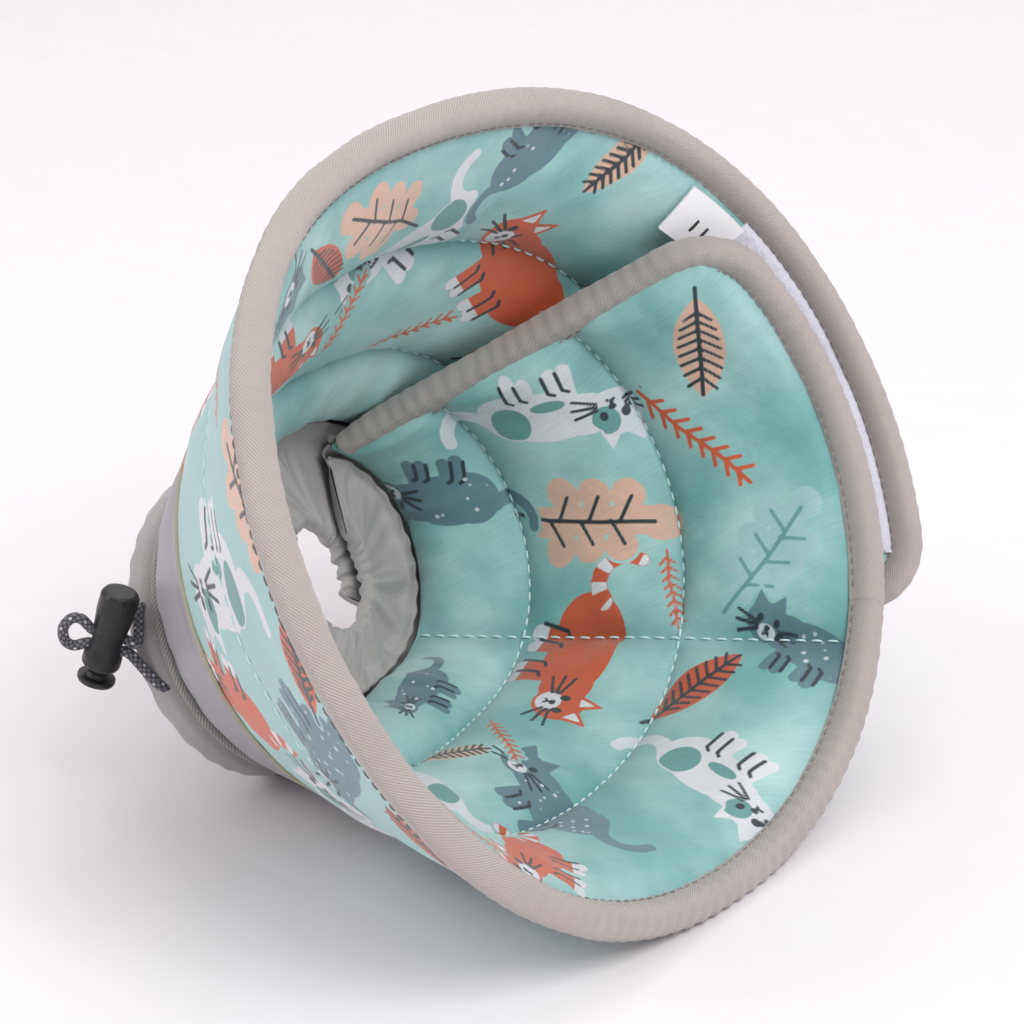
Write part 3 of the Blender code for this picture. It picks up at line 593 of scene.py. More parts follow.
# (shape, ink, turn, s, size m, heading degrees in the pattern: 0 points to the rim, 90 to higher turn, mirrored)
INSIDE = [
    (cat, "orange", 348, 0.44, 0.0269, -60, 1, ""), (cat, "white", 17, 0.56, 0.0234, 15, 1, ""), (cat, "orange", 78, 0.60, 0.0269, 100, -1, ""),
    (oak, "peach", 44, 0.57, 0.0220, 8, 1, ""), (oak, "pale", 55, 0.20, 0.0197, -54, 1, ""), (almond, "orange", 82, 0.33, 0.0171, -51, 1, ""),
    (almond, "peach", 16, 0.19, 0.0182, 118, 1, ""), (sprig, "orange", 32, 0.30, 0.0184, 55, 1, ""), (cat, "slate", 30, 0.88, 0.0199, 200, -1, ""),
    (cat, "slate", 131, 0.40, 0.0257, 195, 1, ""), (cat, "white", 104, 0.20, 0.0234, 20, 1, ""), (cat, "slate", 108, 0.88, 0.0175, 80, 1, ""),
    (cat, "white", 311, 0.33, 0.0257, 215, 1, "up"), (oak, "peach", 292, 0.19, 0.0220, -70, 1, ""), (sprig, "orange", 334, 0.64, 0.0140, 60, 1, ""),
    (almond, "peach", 133, 0.68, 0.0132, -50, 1, ""), (cat, "slate", 72, 0.12, 0.0187, 200, 1, ""), (cat, "slate", 328, 0.10, 0.0199, 30, 1, ""),
    (almond, "peach", 344, 0.09, 0.0132, 200, 1, ""), (cat, "slate", 4, 0.27, 0.0175, 250, -1, ""), (cat, "slate", 316, 0.70, 0.0199, 240, 1, ""),
    (sprig, "orange", 92, 0.14, 0.0119, 100, 1, ""), (almond, "orange", 330, 0.42, 0.0121, -65, 1, ""), (sprig, "orange", 300, 0.52, 0.0140, 20, 1, ""),
    (almond, "orange", 364, 0.62, 0.0132, 30, 1, ""), (cat, "white", 368, 0.30, 0.0222, 120, 1, ""), (sprig, "orange", 60, 0.42, 0.0108, 80, 1, ""),
    (cat, "white", 160, 0.62, 0.0234, 160, 1, ""), (cat, "orange", 160, 0.20, 0.0257, 40, 1, ""), (cat, "orange", 270, 0.55, 0.0246, 80, 1, ""),
    (cat, "white", 230, 0.50, 0.0246, 140, 1, ""), (cat, "orange", 200, 0.75, 0.0211, 10, 1, ""), (cat, "slate", 250, 0.2, 0.0257, 60, 1, ""),
    (cat, "orange", 395, 0.70, 0.0222, 60, 1, ""), (cat, "slate", 402, 0.25, 0.0234, 160, 1, ""), (oak, "pale", 184, 0.42, 0.0209, 100, 1, ""),
    (almond, "orange", 215, 0.2, 0.0176, 60, 1, ""), (sprig, "orange", 245, 0.75, 0.0140, 10, 1, ""), (almond, "peach", 207, 0.50, 0.0176, 100, 1, ""),
    (oak, "peach", 382, 0.80, 0.0162, 60, 1, ""), (sprig, "orange", 118, 0.62, 0.0119, 40, 1, ""), (almond, "peach", 150, 0.42, 0.0143, 30, 1, ""),
    (oak, "pale", 232, 0.14, 0.0186, 10, 1, ""), (almond, "orange", 276, 0.22, 0.0165, 140, 1, ""), (sprig, "orange", 180, 0.12, 0.0140, 80, 1, ""),
]
OUTSIDE = [
    (cat, "white", 223, 0.38, 0.0246, 172, 1, ""), (almond, "orange", 233, 0.54, 0.0154, 175, 1, ""), (oak, "peach", 230, 0.08, 0.0174, 120, 1, ""),
    (cat, "orange", 206, 0.60, 0.0199, 150, 1, ""), (cat, "slate", 199, 0.22, 0.0246, 200, 1, ""), (sprig, "orange", 250, 0.24, 0.0151, 100, 1, ""),
    (almond, "orange", 184, 0.12, 0.0154, 90, 1, ""), (cat, "white", 176, 0.44, 0.0246, 100, 1, ""), (cat, "orange", 262, 0.50, 0.0234, 40, 1, ""),
    (almond, "peach", 246, 0.56, 0.0143, 20, 1, ""), (cat, "slate", 278, 0.22, 0.0234, 110, -1, ""), (oak, "pale", 288, 0.54, 0.0186, 30, 1, ""),
    (cat, "white", 306, 0.28, 0.0246, 150, 1, ""), (almond, "peach", 320, 0.54, 0.0165, 60, 1, ""), (sprig, "orange", 328, 0.20, 0.0151, 130, 1, ""),
    (cat, "orange", 345, 0.42, 0.0246, 200, 1, ""), (oak, "peach", 362, 0.20, 0.0186, 60, 1, ""), (cat, "slate", 375, 0.52, 0.0222, 20, 1, ""),
    (almond, "orange", 390, 0.22, 0.0165, 140, 1, ""), (cat, "white", 403, 0.46, 0.0222, 90, 1, ""), (sprig, "orange", 160, 0.18, 0.0140, 30, 1, ""),
    (cat, "slate", 148, 0.50, 0.0234, 220, 1, ""), (oak, "peach", 134, 0.20, 0.0197, 20, 1, ""), (cat, "orange", 118, 0.44, 0.0246, 80, 1, ""),
    (almond, "peach", 102, 0.18, 0.0154, 120, 1, ""), (cat, "white", 88, 0.50, 0.0234, 20, 1, ""), (sprig, "orange", 74, 0.18, 0.0140, 60, 1, ""),
    (cat, "slate", 58, 0.42, 0.0234, 150, 1, ""), (oak, "peach", 38, 0.56, 0.0174, 60, 1, ""), (almond, "orange", 212, 0.08, 0.0132, 60, 1, ""),
    (almond, "peach", 12, 0.60, 0.0154, 60, 1, ""), (sprig, "orange", 294, 0.08, 0.0130, 80, 1, ""), (sprig, "orange", 190, 0.60, 0.0119, 20, 1, ""),
]


def spread(shapes):
    """Leaves out any shape that would lie on one listed before it."""
    kept = []
    for c in shapes:
        x, y = fan(c[2], c[3])
        r = c[4] * (0.95 if c[0] is cat else 0.85)
        if all(math.hypot(x - fan(o[2], o[3])[0], y - fan(o[2], o[3])[1]) > 0.74 * (r + o[4] * 0.9) for o in kept):
            kept.append(c)
    return kept


def print_fields(turn, s, shapes):
    X, Y = fan(turn, s)
    F = {k: np.full(turn.shape, 0.02) for k in INKS}
    F["dots"] = np.zeros(turn.shape)
    for make, ink, t0, s0, size, head, mirror, kind in shapes:
        cx, cy = fan(t0, s0)
        near = (np.abs(X - cx) < size * 1.6) & (np.abs(Y - cy) < size * 1.6)
        if not near.any():
            continue
        a = math.radians(t0) * FAN_K + math.radians(head)
        dx, dy = (X[near] - cx) / size, (Y[near] - cy) / size
        x, y = dx * math.cos(a) + dy * math.sin(a), (-dx * math.sin(a) + dy * math.cos(a)) * mirror
        G = {k: F[k][near] for k in F}
            # a shape drawn later hides what is under it
        G["s"] = size
        before = {k: G[k] for k in INKS}
        for k in INKS:
            G[k] = np.full(x.shape, 0.02)
        make(G, x, y, ink, kind)
        shape = np.minimum.reduce([G[k] for k in INKS])
        for k in INKS:
            F[k][near] = np.minimum(np.maximum(before[k], 0.0009 - shape), G[k])
        F["dots"][near] = G["dots"]
    return F


# ------------------------------------------------------------------ quilt: puffed cells, creases
def puff(turn, s):
    """How far the cloth stands off the seams, in metres, always 0 or more on a seam line's sides."""
    edges = (0.035,) + SEAMS + (1.0,)
    out = np.zeros(turn.shape)
    per = np.linalg.norm(slopes(turn, s)[0], axis=-1)
    spoke = 1 - np.exp(-(np.abs(turn - SPOKE) * per / 0.006) ** 1.3)
    for a, b in zip(edges, edges[1:]):
        x = np.clip((s - a) / (b - a), 0, 1)
        out = np.maximum(out, np.where((s >= a) & (s <= b), (4 * x * (1 - x)) ** 0.62, 0.0))
    return out * spoke, per


def quilt_out(turn, s, inner):
    p, per = puff(turn, s)
    X, Y = fan(turn, s)
    pull = np.zeros(turn.shape)
    for q, amp, reach, pitch in ((SEAMS[0], 0.0016, 0.012, 0.0075), (SEAMS[1], 0.0017, 0.011, 0.0066), (1.0, 0.0022, 0.018, 0.0052), (0.035, 0.0014, 0.010, 0.0075)):
        d = np.abs(s - q) * SLANT
        along = np.radians(turn) * FAN_K * (FAN_R - q * SLANT)
        c = noise(along / pitch + 1.2 * noise(along / 0.02, d / 0.015, 3), d / 0.060 + q * 9.0, 1) + 0.6 * noise(along / (0.55 * pitch), d / 0.040 + q * 5.0, 2)
        pull += amp * np.exp(-d / reach) * c * (0.35 + 1.3 * (noise(along / 0.028, q * 7, 0) + 0.5))
    d = np.abs(turn - SPOKE) * per
    pull += 0.0015 * np.exp(-d / 0.010) * noise(s * SLANT / 0.0065, d / 0.05, 3)
    soft = 0.0034 * noise(X / 0.034, Y / 0.026, 0) + 0.0018 * noise(X / 0.015, Y / 0.020, 1) + 0.0005 * noise(X / 0.007, Y / 0.009, 2)
    T = thick(s)
    # the two laps lie on each other, so the faces that meet are flatter
    lap_in = 1 - 0.55 * smooth((turn - 345) / 20.0) * smooth((s - 0.35) / 0.3)
    lap_out = 1 - 0.7 * smooth((75 - turn) / 20.0)
    if inner:
        lift = 0.0009 - 0.0055 * p * lap_in          # into the cone is minus
        return lift + (pull + soft) * (0.15 + 0.85 * p) * lap_in
    lift = T - 0.0010 + 0.0016 * p * lap_out
    return lift + (pull * 0.6 + soft * 0.5) * (0.25 + 0.75 * p) * lap_out


STEP = 0.00065
all_fabric = []


def quilt_piece(k):
    turns = piece_turns(k, STEP)
    if MID[k - 1] <= SPOKE < MID[k]:
        turns[np.abs(turns - SPOKE).argmin()] = SPOKE
    lo = corner(turns)
    cols = []
    marks = (None,) + SEAMS + (CLOTH_END,)
    for q in range(3):
        a_ = lo if q == 0 else np.full(len(turns), marks[q])
        m_ = int(round((marks[q + 1] - (0 if q == 0 else marks[q])) * SLANT / STEP))
        f_ = np.arange(m_) / m_
        cols.append(a_[:, None] + (marks[q + 1] - a_[:, None]) * f_[None])
    cols.append(np.full((len(turns), 1), CLOTH_END))
    S = np.concatenate(cols, 1)
    nj = S.shape[1]
    T = np.broadcast_to(turns[:, None], S.shape).copy()
    nrm = normal(T, S)
    B = base(T, S)
    oi, oo = quilt_out(T, S, True), quilt_out(T, S, False)
    # pressed together along the cut edges, under the tape
    end = np.full(T.shape, 1.0)
    if k == 1:
        end = smooth(T * 0.00175 / 0.010)
    if k == 5:
        end = smooth((WRAP - T) * 0.0021 / 0.010)
    edge = np.minimum(end, smooth((S - lo[:, None]) * SLANT / 0.010))
    oi = 0.0007 + (oi - 0.0007) * edge
    oo = (thick(S) - 0.0012) + (oo - thick(S) + 0.0012) * edge
    P = np.concatenate([(B + nrm * oi[..., None]).reshape(-1, 3), (B + nrm * oo[..., None]).reshape(-1, 3)])
    ni, n = len(turns), len(turns) * nj
    inner, outer = grid_faces(ni, nj), grid_faces(ni, nj, n, True)
    i = np.arange(ni - 1); j = np.arange(nj - 1)
    walls = [np.stack([i * nj, i * nj + n, (i + 1) * nj + n, (i + 1) * nj], -1),
             np.stack([i * nj + nj - 1, (i + 1) * nj + nj - 1, (i + 1) * nj + nj - 1 + n, i * nj + nj - 1 + n], -1),
             np.stack([j, j + 1, j + 1 + n, j + n], -1),
             np.stack([(ni - 1) * nj + j, (ni - 1) * nj + j + n, (ni - 1) * nj + j + 1 + n, (ni - 1) * nj + j + 1], -1)]
    faces = np.concatenate([inner, outer] + walls)
    fi, fo = print_fields(T.ravel(), S.ravel(), spread(INSIDE)), print_fields(T.ravel(), S.ravel(), spread(OUTSIDE))
    attrs = {key: np.concatenate([fi[key], fo[key]]) for key in list(INKS) + ["dots"]}
    X, Y = fan(T.ravel(), S.ravel())
    v = np.stack([X, Y, np.zeros_like(X)], -1)
    attrs["fan"] = np.concatenate([v, v])
    # weight of the painted shade in the quilt hollows, full on the lining and weaker on the shell
    pf = puff(T, S)[0]
    attrs["hollow"] = np.concatenate([(1 - pf).ravel(), 0.35 * (1 - pf).ravel()])
    ob = mesh("quilt_%d" % k, P, faces, None, attrs, [M["lining"], M["shell"]])
    idx = np.zeros(len(faces), np.int32)
    idx[len(inner):len(inner) + len(outer)] = 1
    ob.data.polygons.foreach_set("material_index", idx)
    bm = bmesh.new(); bm.from_mesh(ob.data)
    bmesh.ops.recalc_face_normals(bm, faces=bm.faces)
    bm.to_mesh(ob.data); bm.free()
    ob.data.set_sharp_from_angle(angle=math.radians(62))
    return ob


def rods(name, starts, ends, lifts, r, mat):
    """Many small thread stitches as one mesh: each a thin six-sided bar, bowed up in the middle."""
    V, F = [], []
    for a, b, up in zip(starts, ends, lifts):
        d = b - a
        L = np.linalg.norm(d)
        if L < 1e-5:
            continue
        d = d / L
        side = unit(np.cross(d, up))
        up2 = np.cross(side, d)
        o = len(V)
        for u, k, h in ((0.0, 0.35, -0.4), (0.12, 0.85, 0.35), (0.5, 1.0, 0.7), (0.88, 0.85, 0.35), (1.0, 0.35, -0.4)):
            c = a + d * L * u + up2 * (h * r)
            for q in range(6):
                an = math.pi * q / 3
                V.append(c + (side * math.cos(an) + up2 * math.sin(an)) * r * k)
        for ring in range(4):
            for q in range(6):
                F.append([o + ring * 6 + q, o + (ring + 1) * 6 + q, o + (ring + 1) * 6 + (q + 1) % 6, o + ring * 6 + (q + 1) % 6])
        F.append([o + q for q in range(6)])
        F.append([o + 24 + q for q in range(6)][::-1])
    ob = mesh(name, np.array(V), F, mat)
    bm = bmesh.new(); bm.from_mesh(ob.data)
    bmesh.ops.recalc_face_normals(bm, faces=bm.faces)
    bm.to_mesh(ob.data); bm.free()
    ob.data.set_sharp_from_angle(angle=math.radians(62))
    return ob


def seam_stitches(k):
    """Quilting thread on the lining and the shell: along both arcs and the radial seam."""
    a0, b0 = MID[k - 1], MID[k]
    A, B, U = [], [], []
    for inner in (True, False):
        for q in SEAMS:
            per = float(np.linalg.norm(slopes(200.0, q)[0]))
            pitch, long = 0.0042 / per, 0.0028 / per
            t = np.arange(math.ceil(max(a0, 1.0) / pitch) * pitch, min(b0, WRAP - 5) - long, pitch)
            t2 = t + long
            for tt, lst in ((t, A), (t2, B)):
                o = quilt_out(tt, np.full(tt.shape, q), inner) + (-0.00022 if inner else 0.00022)
                lst.extend(surf(tt, np.full(tt.shape, q), o))
            U.extend(normal(t, np.full(t.shape, q)) * (-1 if inner else 1))
        if a0 <= SPOKE < b0:
            s = np.arange(0.07, 0.985, 0.0042 / SLANT)
            tt = np.full(s.shape, SPOKE)
            for ss, lst in ((s, A), (s + 0.0028 / SLANT, B)):
                o = quilt_out(tt, ss, inner) + (-0.00022 if inner else 0.00022)
                lst.extend(surf(tt, ss, o))
            U.extend(normal(tt, s) * (-1 if inner else 1))
    return rods("quilting_thread_%d" % k, A, B, U, 0.00034, M["stitch"])


# ------------------------------------------------------------------ binding
def rim_path(k, mm=0.0009):
    """(turn, s, inward turn per m, inward s per m, metres along) down the edge that piece k's binding follows."""
    a, b = MID[k - 1], MID[k]
    first, last = k == 1, k == 5
    rows = []
    end = 0.0 if first else WRAP
    if first or last:
        per = float(np.linalg.norm(slopes(end, 0.0)[0]))
        L = float(slant(end))
        sign = 1.0 if first else -1.0
        bendp = []
        for deg in np.arange(0, 90.1, 3.0):
            r = math.radians(deg)
            bendp.append((end + sign * CORNER_R * (1 - math.cos(r)) / per, CORNER_R * (1 - math.sin(r)) / L, sign * math.cos(r) / per, math.sin(r) / L))
        top = bendp[0][1]
        straight = [(end, v, sign / float(np.linalg.norm(slopes(end, v)[0])), 0.0) for v in np.linspace(BIND_END, top, int(SLANT / mm))[:-1]]
        lead = straight + bendp
        st = bendp[-1][0]
        if first:
            rows = lead + [(t, 0.0, 0.0, 1.0 / float(slant(t))) for t in even(st, b, mm / 0.00172)[1:]]
        else:
            rows = [(t, 0.0, 0.0, 1.0 / float(slant(t))) for t in even(a, st, mm / 0.0020)[:-1]] + lead[::-1]
    else:
        rows = [(t, 0.0, 0.0, 1.0 / float(slant(t))) for t in even(a, b, mm / 0.00175)]
    return np.array(rows)


TAPE_LINE = [(6.9, -0.10), (6.5, -0.80), (5.5, -0.90), (4.3, -1.40), (2.8, -1.70), (1.3, -1.65), (0.1, -1.15), (-0.8, -0.1), (-1.2, 1.4), (-1.25, 3.0),
             (-0.9, 4.6), (-0.1, 5.8), (1.3, 6.4), (2.9, 6.35), (4.4, 6.0), (5.6, 5.6), (6.6, 5.5), (7.0, 4.9)]


def binding_piece(k):
    R = rim_path(k)
    t, s = R[:, 0], R[:, 1]
    n0 = base(t, s)
    run = np.concatenate([[0], np.cumsum(np.linalg.norm(np.diff(n0, axis=0), axis=1))])
    # metres along from the flap's neck end, so the rib goes on evenly across pieces
    glob = np.where(s > 0, 0, 0) + run + {1: 0.0, 2: 0.31, 3: 0.52, 4: 0.74, 5: 0.83}[k]
    line = np.array(TAPE_LINE) * 0.001
    # smooth the outline
    dense = []
    m = len(line)
    for i in range(m - 1):
        p0, p1, p2, p3 = line[max(0, i - 1)], line[i], line[i + 1], line[min(m - 1, i + 2)]
        for u in (0, 0.5):
            dense.append(0.5 * (2 * p1 + (p2 - p0) * u + (2 * p0 - 5 * p1 + 4 * p2 - p3) * u * u + (3 * p1 - p0 - 3 * p2 + p3) * u ** 3))
    dense.append(line[-1])
    O = np.array(dense)
    tan = unit(np.gradient(O, axis=0))
    nor = np.stack([-tan[:, 1], tan[:, 0]], -1)
    if np.mean((nor * (np.array((4.0, 2.5)) * 0.001 - O)).sum(1)) < 0:
        nor = -nor
    I = O + nor * 0.0006
    arcl = np.concatenate([[0], np.cumsum(np.linalg.norm(np.diff(O, axis=0), axis=1))])
    rings, weave = [], []
    M_ = len(O)
    T = np.minimum(1.0, thick(s) / QUILT)
    pk = 0.35 + 1.0 * np.exp(-((t - 118) / 32.0) ** 2) + 0.35 * np.exp(-((t - 20) / 20.0) ** 2)
    wob = noise(glob / 0.011, 2.0, 1)
    for pts, out_side in ((O, True), (I[::-1], False)):
        for idx in range(len(pts)):
            d, o = pts[idx]
            j = idx if out_side else M_ - 1 - idx
            x = arcl[j] / arcl[-1]
            body = math.sin(math.pi * min(1, max(0, x))) ** 0.5
            rip = 0.00026 * pk * np.sin(2 * math.pi * glob / 0.0046 + 3.5 * noise(glob / 0.018, x * 2.5, 0)) * body
            rip = rip + 0.0005 * noise(glob / 0.010, x * 3.0, 2) * body + 0.0004 * noise(glob / 0.035, x, 3)
            inn = d + 0.0006 * wob * (1 if d > 0.005 else 0)
            oo = (o - 0.0026) * T + 0.0026 * T
            sgn = -1.0 if o < 0.0022 else 1.0
            lift = rip * (sgn if d > 0.0005 else 0.0)
            outw = rip if d <= 0.0005 else 0.0
            inn = inn - outw
            tt, ss = t + R[:, 2] * inn, s + R[:, 3] * inn
            rings.append(surf(tt, ss, oo + lift))
            weave.append(np.stack([glob, np.full(glob.shape, arcl[j]), np.zeros(glob.shape)], -1))
    rings = np.stack(rings, 1)
    weave = np.stack(weave, 1).reshape(-1, 3)
    return closed_sweep("binding_tape_%d" % k, rings, M["binding"], {"weave": weave}), R, glob


def binding_stitches(k, R):
    pos = base(R[:, 0], R[:, 1])
    run = np.concatenate([[0], np.cumsum(np.linalg.norm(np.diff(pos, axis=0), axis=1))])
    A, B, U = [], [], []
    for inner in (True, False):
        at = np.arange(0.0012, run[-1] - 0.003, 0.0031)
        for lst, x in ((A, at), (B, at + 0.0022)):
            t, s = np.interp(x, run, R[:, 0]), np.interp(x, run, R[:, 1])
            it, isn = np.interp(x, run, R[:, 2]), np.interp(x, run, R[:, 3])
            T = np.minimum(1.0, thick(s) / QUILT)
            o = (-0.00118 if inner else 0.00590) * T + (0 if inner else 0)
            lst.extend(surf(t + it * 0.0054, s + isn * 0.0054, o + np.zeros_like(t)))
        U.extend(normal(t, s) * (-1 if inner else 1))
    return rods("binding_thread_%d" % k, A, B, U, 0.00022, M["stitch_grey"])


# ------------------------------------------------------------------ strip, piping, edge thread
def band(name, k, s0, s1, out, thk, mat, wavy=0.0, lo=None, hi=None):
    a, b = MID[k - 1], MID[k]
    a = max(a, lo if lo is not None else a)
    b = min(b, hi if hi is not None else b)
    t = even(a, b, 0.55)
    s = np.linspace(s0, s1, max(2, int((s1 - s0) * SLANT / 0.0012)) + 1)
    T, S = np.meshgrid(t, s, indexing="ij")
    o = out(T, S)
    x = (S - s0) / (s1 - s0)
    side = 1 if thk > 0 else -1
    lip = np.minimum(1.0, np.minimum(x, 1 - x) * (s1 - s0) * SLANT / 0.0006)
    top, bot = surf(T, S, o + thk * lip), surf(T, S, o - 0.0003 * side)
    rings = np.concatenate([top, bot[:, ::-1]], 1)
    X, Y = fan(T, S)
    w = np.concatenate([np.stack([X, Y, X * 0], -1), np.stack([X, Y, X * 0], -1)[:, ::-1]], 1).reshape(-1, 3)
    return closed_sweep(name, rings, mat, {"weave": w, "fan": w})


def tube_mesh(name, pts, r, mat, sides=12, wob=None, run0=0.0):
    pts = np.asarray(pts)
    tan = unit(np.gradient(pts, axis=0))
    ref = np.array([0.0, 0.0, 1.0]) if abs(tan[0][2]) < 0.9 else np.array([1.0, 0, 0])
    n = unit(np.cross(tan[0], ref))
    rings, weave = [], []
    run = np.concatenate([[0], np.cumsum(np.linalg.norm(np.diff(pts, axis=0), axis=1))]) + run0
    for i in range(len(pts)):
        n = unit(n - tan[i] * np.dot(n, tan[i]))
        b = np.cross(tan[i], n)
        an = 2 * math.pi * np.arange(sides) / sides
        rr = r * (1 + (0 if wob is None else wob[i]))
        rings.append(pts[i] + (np.cos(an)[:, None] * n + np.sin(an)[:, None] * b) * rr)
        weave.append(np.stack([np.full(sides, run[i]), an / (2 * math.pi) if mat is M["cord"] else an * r, np.zeros(sides)], -1))
    return closed_sweep(name, np.stack(rings), mat, {"weave": np.concatenate(weave)})


def resample(pts, step):
    pts = np.asarray(pts)
    run = np.concatenate([[0], np.cumsum(np.linalg.norm(np.diff(pts, axis=0), axis=1))])
    x = np.linspace(0, run[-1], max(3, int(run[-1] / step)))
    return np.stack([np.interp(x, run, pts[:, i]) for i in range(3)], -1)


# ------------------------------------------------------------------ neck sleeve
SLEEVE_LINE = [(0.0, 0.8, 1), (0.01, 3.0, 1), (0.05, 6.0, 1), (0.13, 8.3, 1), (0.30, 9.3, 1), (0.55, 9.0, 1), (0.80, 8.6, 1), (0.94, 8.1, 1), (1.0, 5.9, 0.5),
               (0.94, 3.7, 0), (0.80, 3.8, 0), (0.55, 4.4, 0), (0.30, 4.7, 0), (0.17, 3.9, 0), (0.09, 2.6, 0), (0.035, 1.5, 0), (0.02, 0.8, 0)]


def climb(turn, w):
    return STACK * (turn - 180.0) / 360.0 * smooth(w / 0.2)


def sleeve(turn, w, a, out):
    turn = np.asarray(turn, float)
    w, a, out = (np.broadcast_to(np.asarray(v, float), turn.shape) for v in (w, a, out))
    q = np.radians(turn) + START
    tilt = q + NECK_TWIST
    ax = DEPTH + 0.5 * wv(NECK_TILT, 1, tilt)
    hole = CENTRE + (HOLE_CENTRE[0] + HOLE_R * np.cos(q))[..., None] * DOWN + (HOLE_CENTRE[1] + HOLE_R * np.sin(q))[..., None] * SIDE + ax[..., None] * AX
    seam = surf(turn, 1.0, out)
    return seam + (hole - seam) * w[..., None] + (a + climb(turn, w))[..., None] * AX


def sleeve_piece(k):
    a, b = MID[k - 1] + (0.7 if k == 1 else 0), MID[k] - (0.7 if k == 5 else 0)
    t = even(a, b, 0.5)
    line = np.array(SLEEVE_LINE)
    m = len(line)
    dense = []
    for i in range(m - 1):
        p0, p1, p2, p3 = line[max(0, i - 1)], line[i], line[i + 1], line[min(m - 1, i + 2)]
        for u in np.arange(0, 1, 0.2):
            dense.append(0.5 * (2 * p1 + (p2 - p0) * u + (2 * p0 - 5 * p1 + 4 * p2 - p3) * u * u + (3 * p1 - p0 - 3 * p2 + p3) * u ** 3))
    dense.append(line[-1])
    D = np.array(dense)
    # a soft cloth wall 0.7 mm thick: the outline and the same outline moved in
    tan = unit(np.gradient(D[:, :2] * np.array((0.030, 0.001)), axis=0))
    nor = np.stack([-tan[:, 1], tan[:, 0]], -1)
    rings, weave = [], []
    for off, order in ((0.00035, range(len(D))), (-0.00035, range(len(D) - 1, -1, -1))):
        for i in order:
            w, av, sd = D[i]
            w = min(1.02, max(0.0, w))
            env = smooth(w / 0.35) * 1.0
            ph = 2 * math.pi * t / 21.0 + 9.0 * noise(t / 37.0, 4.2, 1) + 1.4 * w * noise(t / 26.0, 1.0, 2) * 6
            fold = 0.00125 * env * (1 - 0.55 * smooth((w - 0.72) / 0.25)) * np.sin(ph) + 0.00030 * env * np.sin(2 * math.pi * t / 9.3 + 9 * noise(t / 19.0, 9.0, 0))
            fold = fold + 0.0004 * smooth(1 - w / 0.22) * np.sin(2 * math.pi * t / 8.2 + 5 * noise(t / 20.0, 3.3, 3)) * (0.0 if w < 0.02 else 1.0)
            rad = 0.018 * env * np.sin(ph + 1.2) * (0.3 + 0.7 * smooth((w - 0.6) / 0.3))
            full = smooth((t - 70.0) / 25.0) * sd
            av2 = av + full * 4.6 * np.interp(w, (0.0, 0.03, 0.10, 0.30, 0.60, 0.94), (0.1, 0.55, 1.0, 0.9, 0.5, 0.05))
            wide = -full * np.interp(av, (0.8, 3.0, 6.0, 8.3, 9.3), (0.0, 0.07, 0.11, 0.06, 0.0)) * (1.0 if w < 0.35 else 0.0)
            shut = np.ones(t.shape)
            if k == 1:
                shut = smooth((t - a) / 5.0)
            if k == 5:
                shut = smooth((b - t) / 5.0)
            mid = np.interp(w, (0.0, 0.05, 0.09, 0.17, 0.30, 0.55, 0.87), (0.8, 3.8, 5.2, 6.4, 7.0, 6.7, 6.1))
            av2 = mid + (av2 - mid) * (0.12 + 0.88 * shut)
            P = sleeve(t, wide + np.clip(w + rad * 0.6, 0, 1.10) - nor[i][0] * off / 0.030 * 0, av2 * 0.001 + fold + nor[i][1] * off * (0.3 + 0.7 * shut), SLEEVE_O[0] + (SLEEVE_O[1] - SLEEVE_O[0]) * sd)
            # move along the wall's own side direction too
            inward = unit(sleeve(t, min(1.0, w + 0.01), av * 0.001, SLEEVE_O[0]) - sleeve(t, min(1.0, w + 0.01) - 0.02, av * 0.001, SLEEVE_O[0]))
            P = P + inward * (nor[i][0] * off)
            rings.append(P)
            weave.append(np.stack([np.radians(t) * 0.04, np.full(t.shape, w * 0.03 + av * 0.001), t * 0], -1))
    return closed_sweep("sleeve_cloth_%d" % k, np.stack(rings, 1), M["sleeve"], {"weave": np.stack(weave, 1).reshape(-1, 3)})


def rest_on_floor(o):
    """Cloth that would sink into the floor flattens on it; the map is the same for every piece, so their order stays."""
    v = np.empty(len(o.data.vertices) * 3, np.float32)
    o.data.vertices.foreach_get("co", v)
    v = v.reshape(-1, 3)
    low = v[:, 2] < 0.002
    v[low, 2] = 0.0002 + 0.0018 * np.exp((v[low, 2] - 0.002) / 0.0018)
    o.data.vertices.foreach_set("co", v.ravel())
    o.data.update()


# ------------------------------------------------------------------ build the wrap
by_body = {}
pieces = {}
for k in range(1, 6):
    q = quilt_piece(k)
    bt, R, glob = binding_piece(k)
    sl = sleeve_piece(k)
    st = seam_stitches(k)
    bs = binding_stitches(k, R)
    lo, hi = 10.5, WRAP - 9.0
    strip = band("reflective_band_%d" % k, k, 0.70, 0.975, lambda T, S: np.maximum(quilt_out(T, S, False) * 0.4 + (thick(S) + 0.0002) * 0.6, quilt_out(T, S, False) + 0.0003), 0.0004, M["strip"], lo=lo, hi=hi)
    edge = band("strip_edge_%d" % k, k, 0.6965, 0.7015, lambda T, S: np.maximum(quilt_out(T, S, False) * 0.4 + (thick(S) + 0.0002) * 0.6, quilt_out(T, S, False) + 0.0003), 0.0008, M["edge"], lo=lo, hi=hi)
    a, b = max(MID[k - 1], 1.5), min(MID[k], WRAP - 1.5)
    tt = even(a, b, 0.7)
    pts = surf(tt, np.ones_like(tt), np.full(tt.shape, QUILT_NECK + 0.0002 + PIPING_R))
    pip = tube_mesh("piping_cord_%d" % k, pts, PIPING_R, M["piping"], 12, 0.10 * np.sin(2 * math.pi * np.radians(tt) * 0.05 / 0.0016) * 0.5, k * 0.1)
    pieces[k] = [q, bt, sl, st, bs, strip, edge, pip]
    for o in pieces[k]:
        rest_on_floor(o)
        bend(o, k)

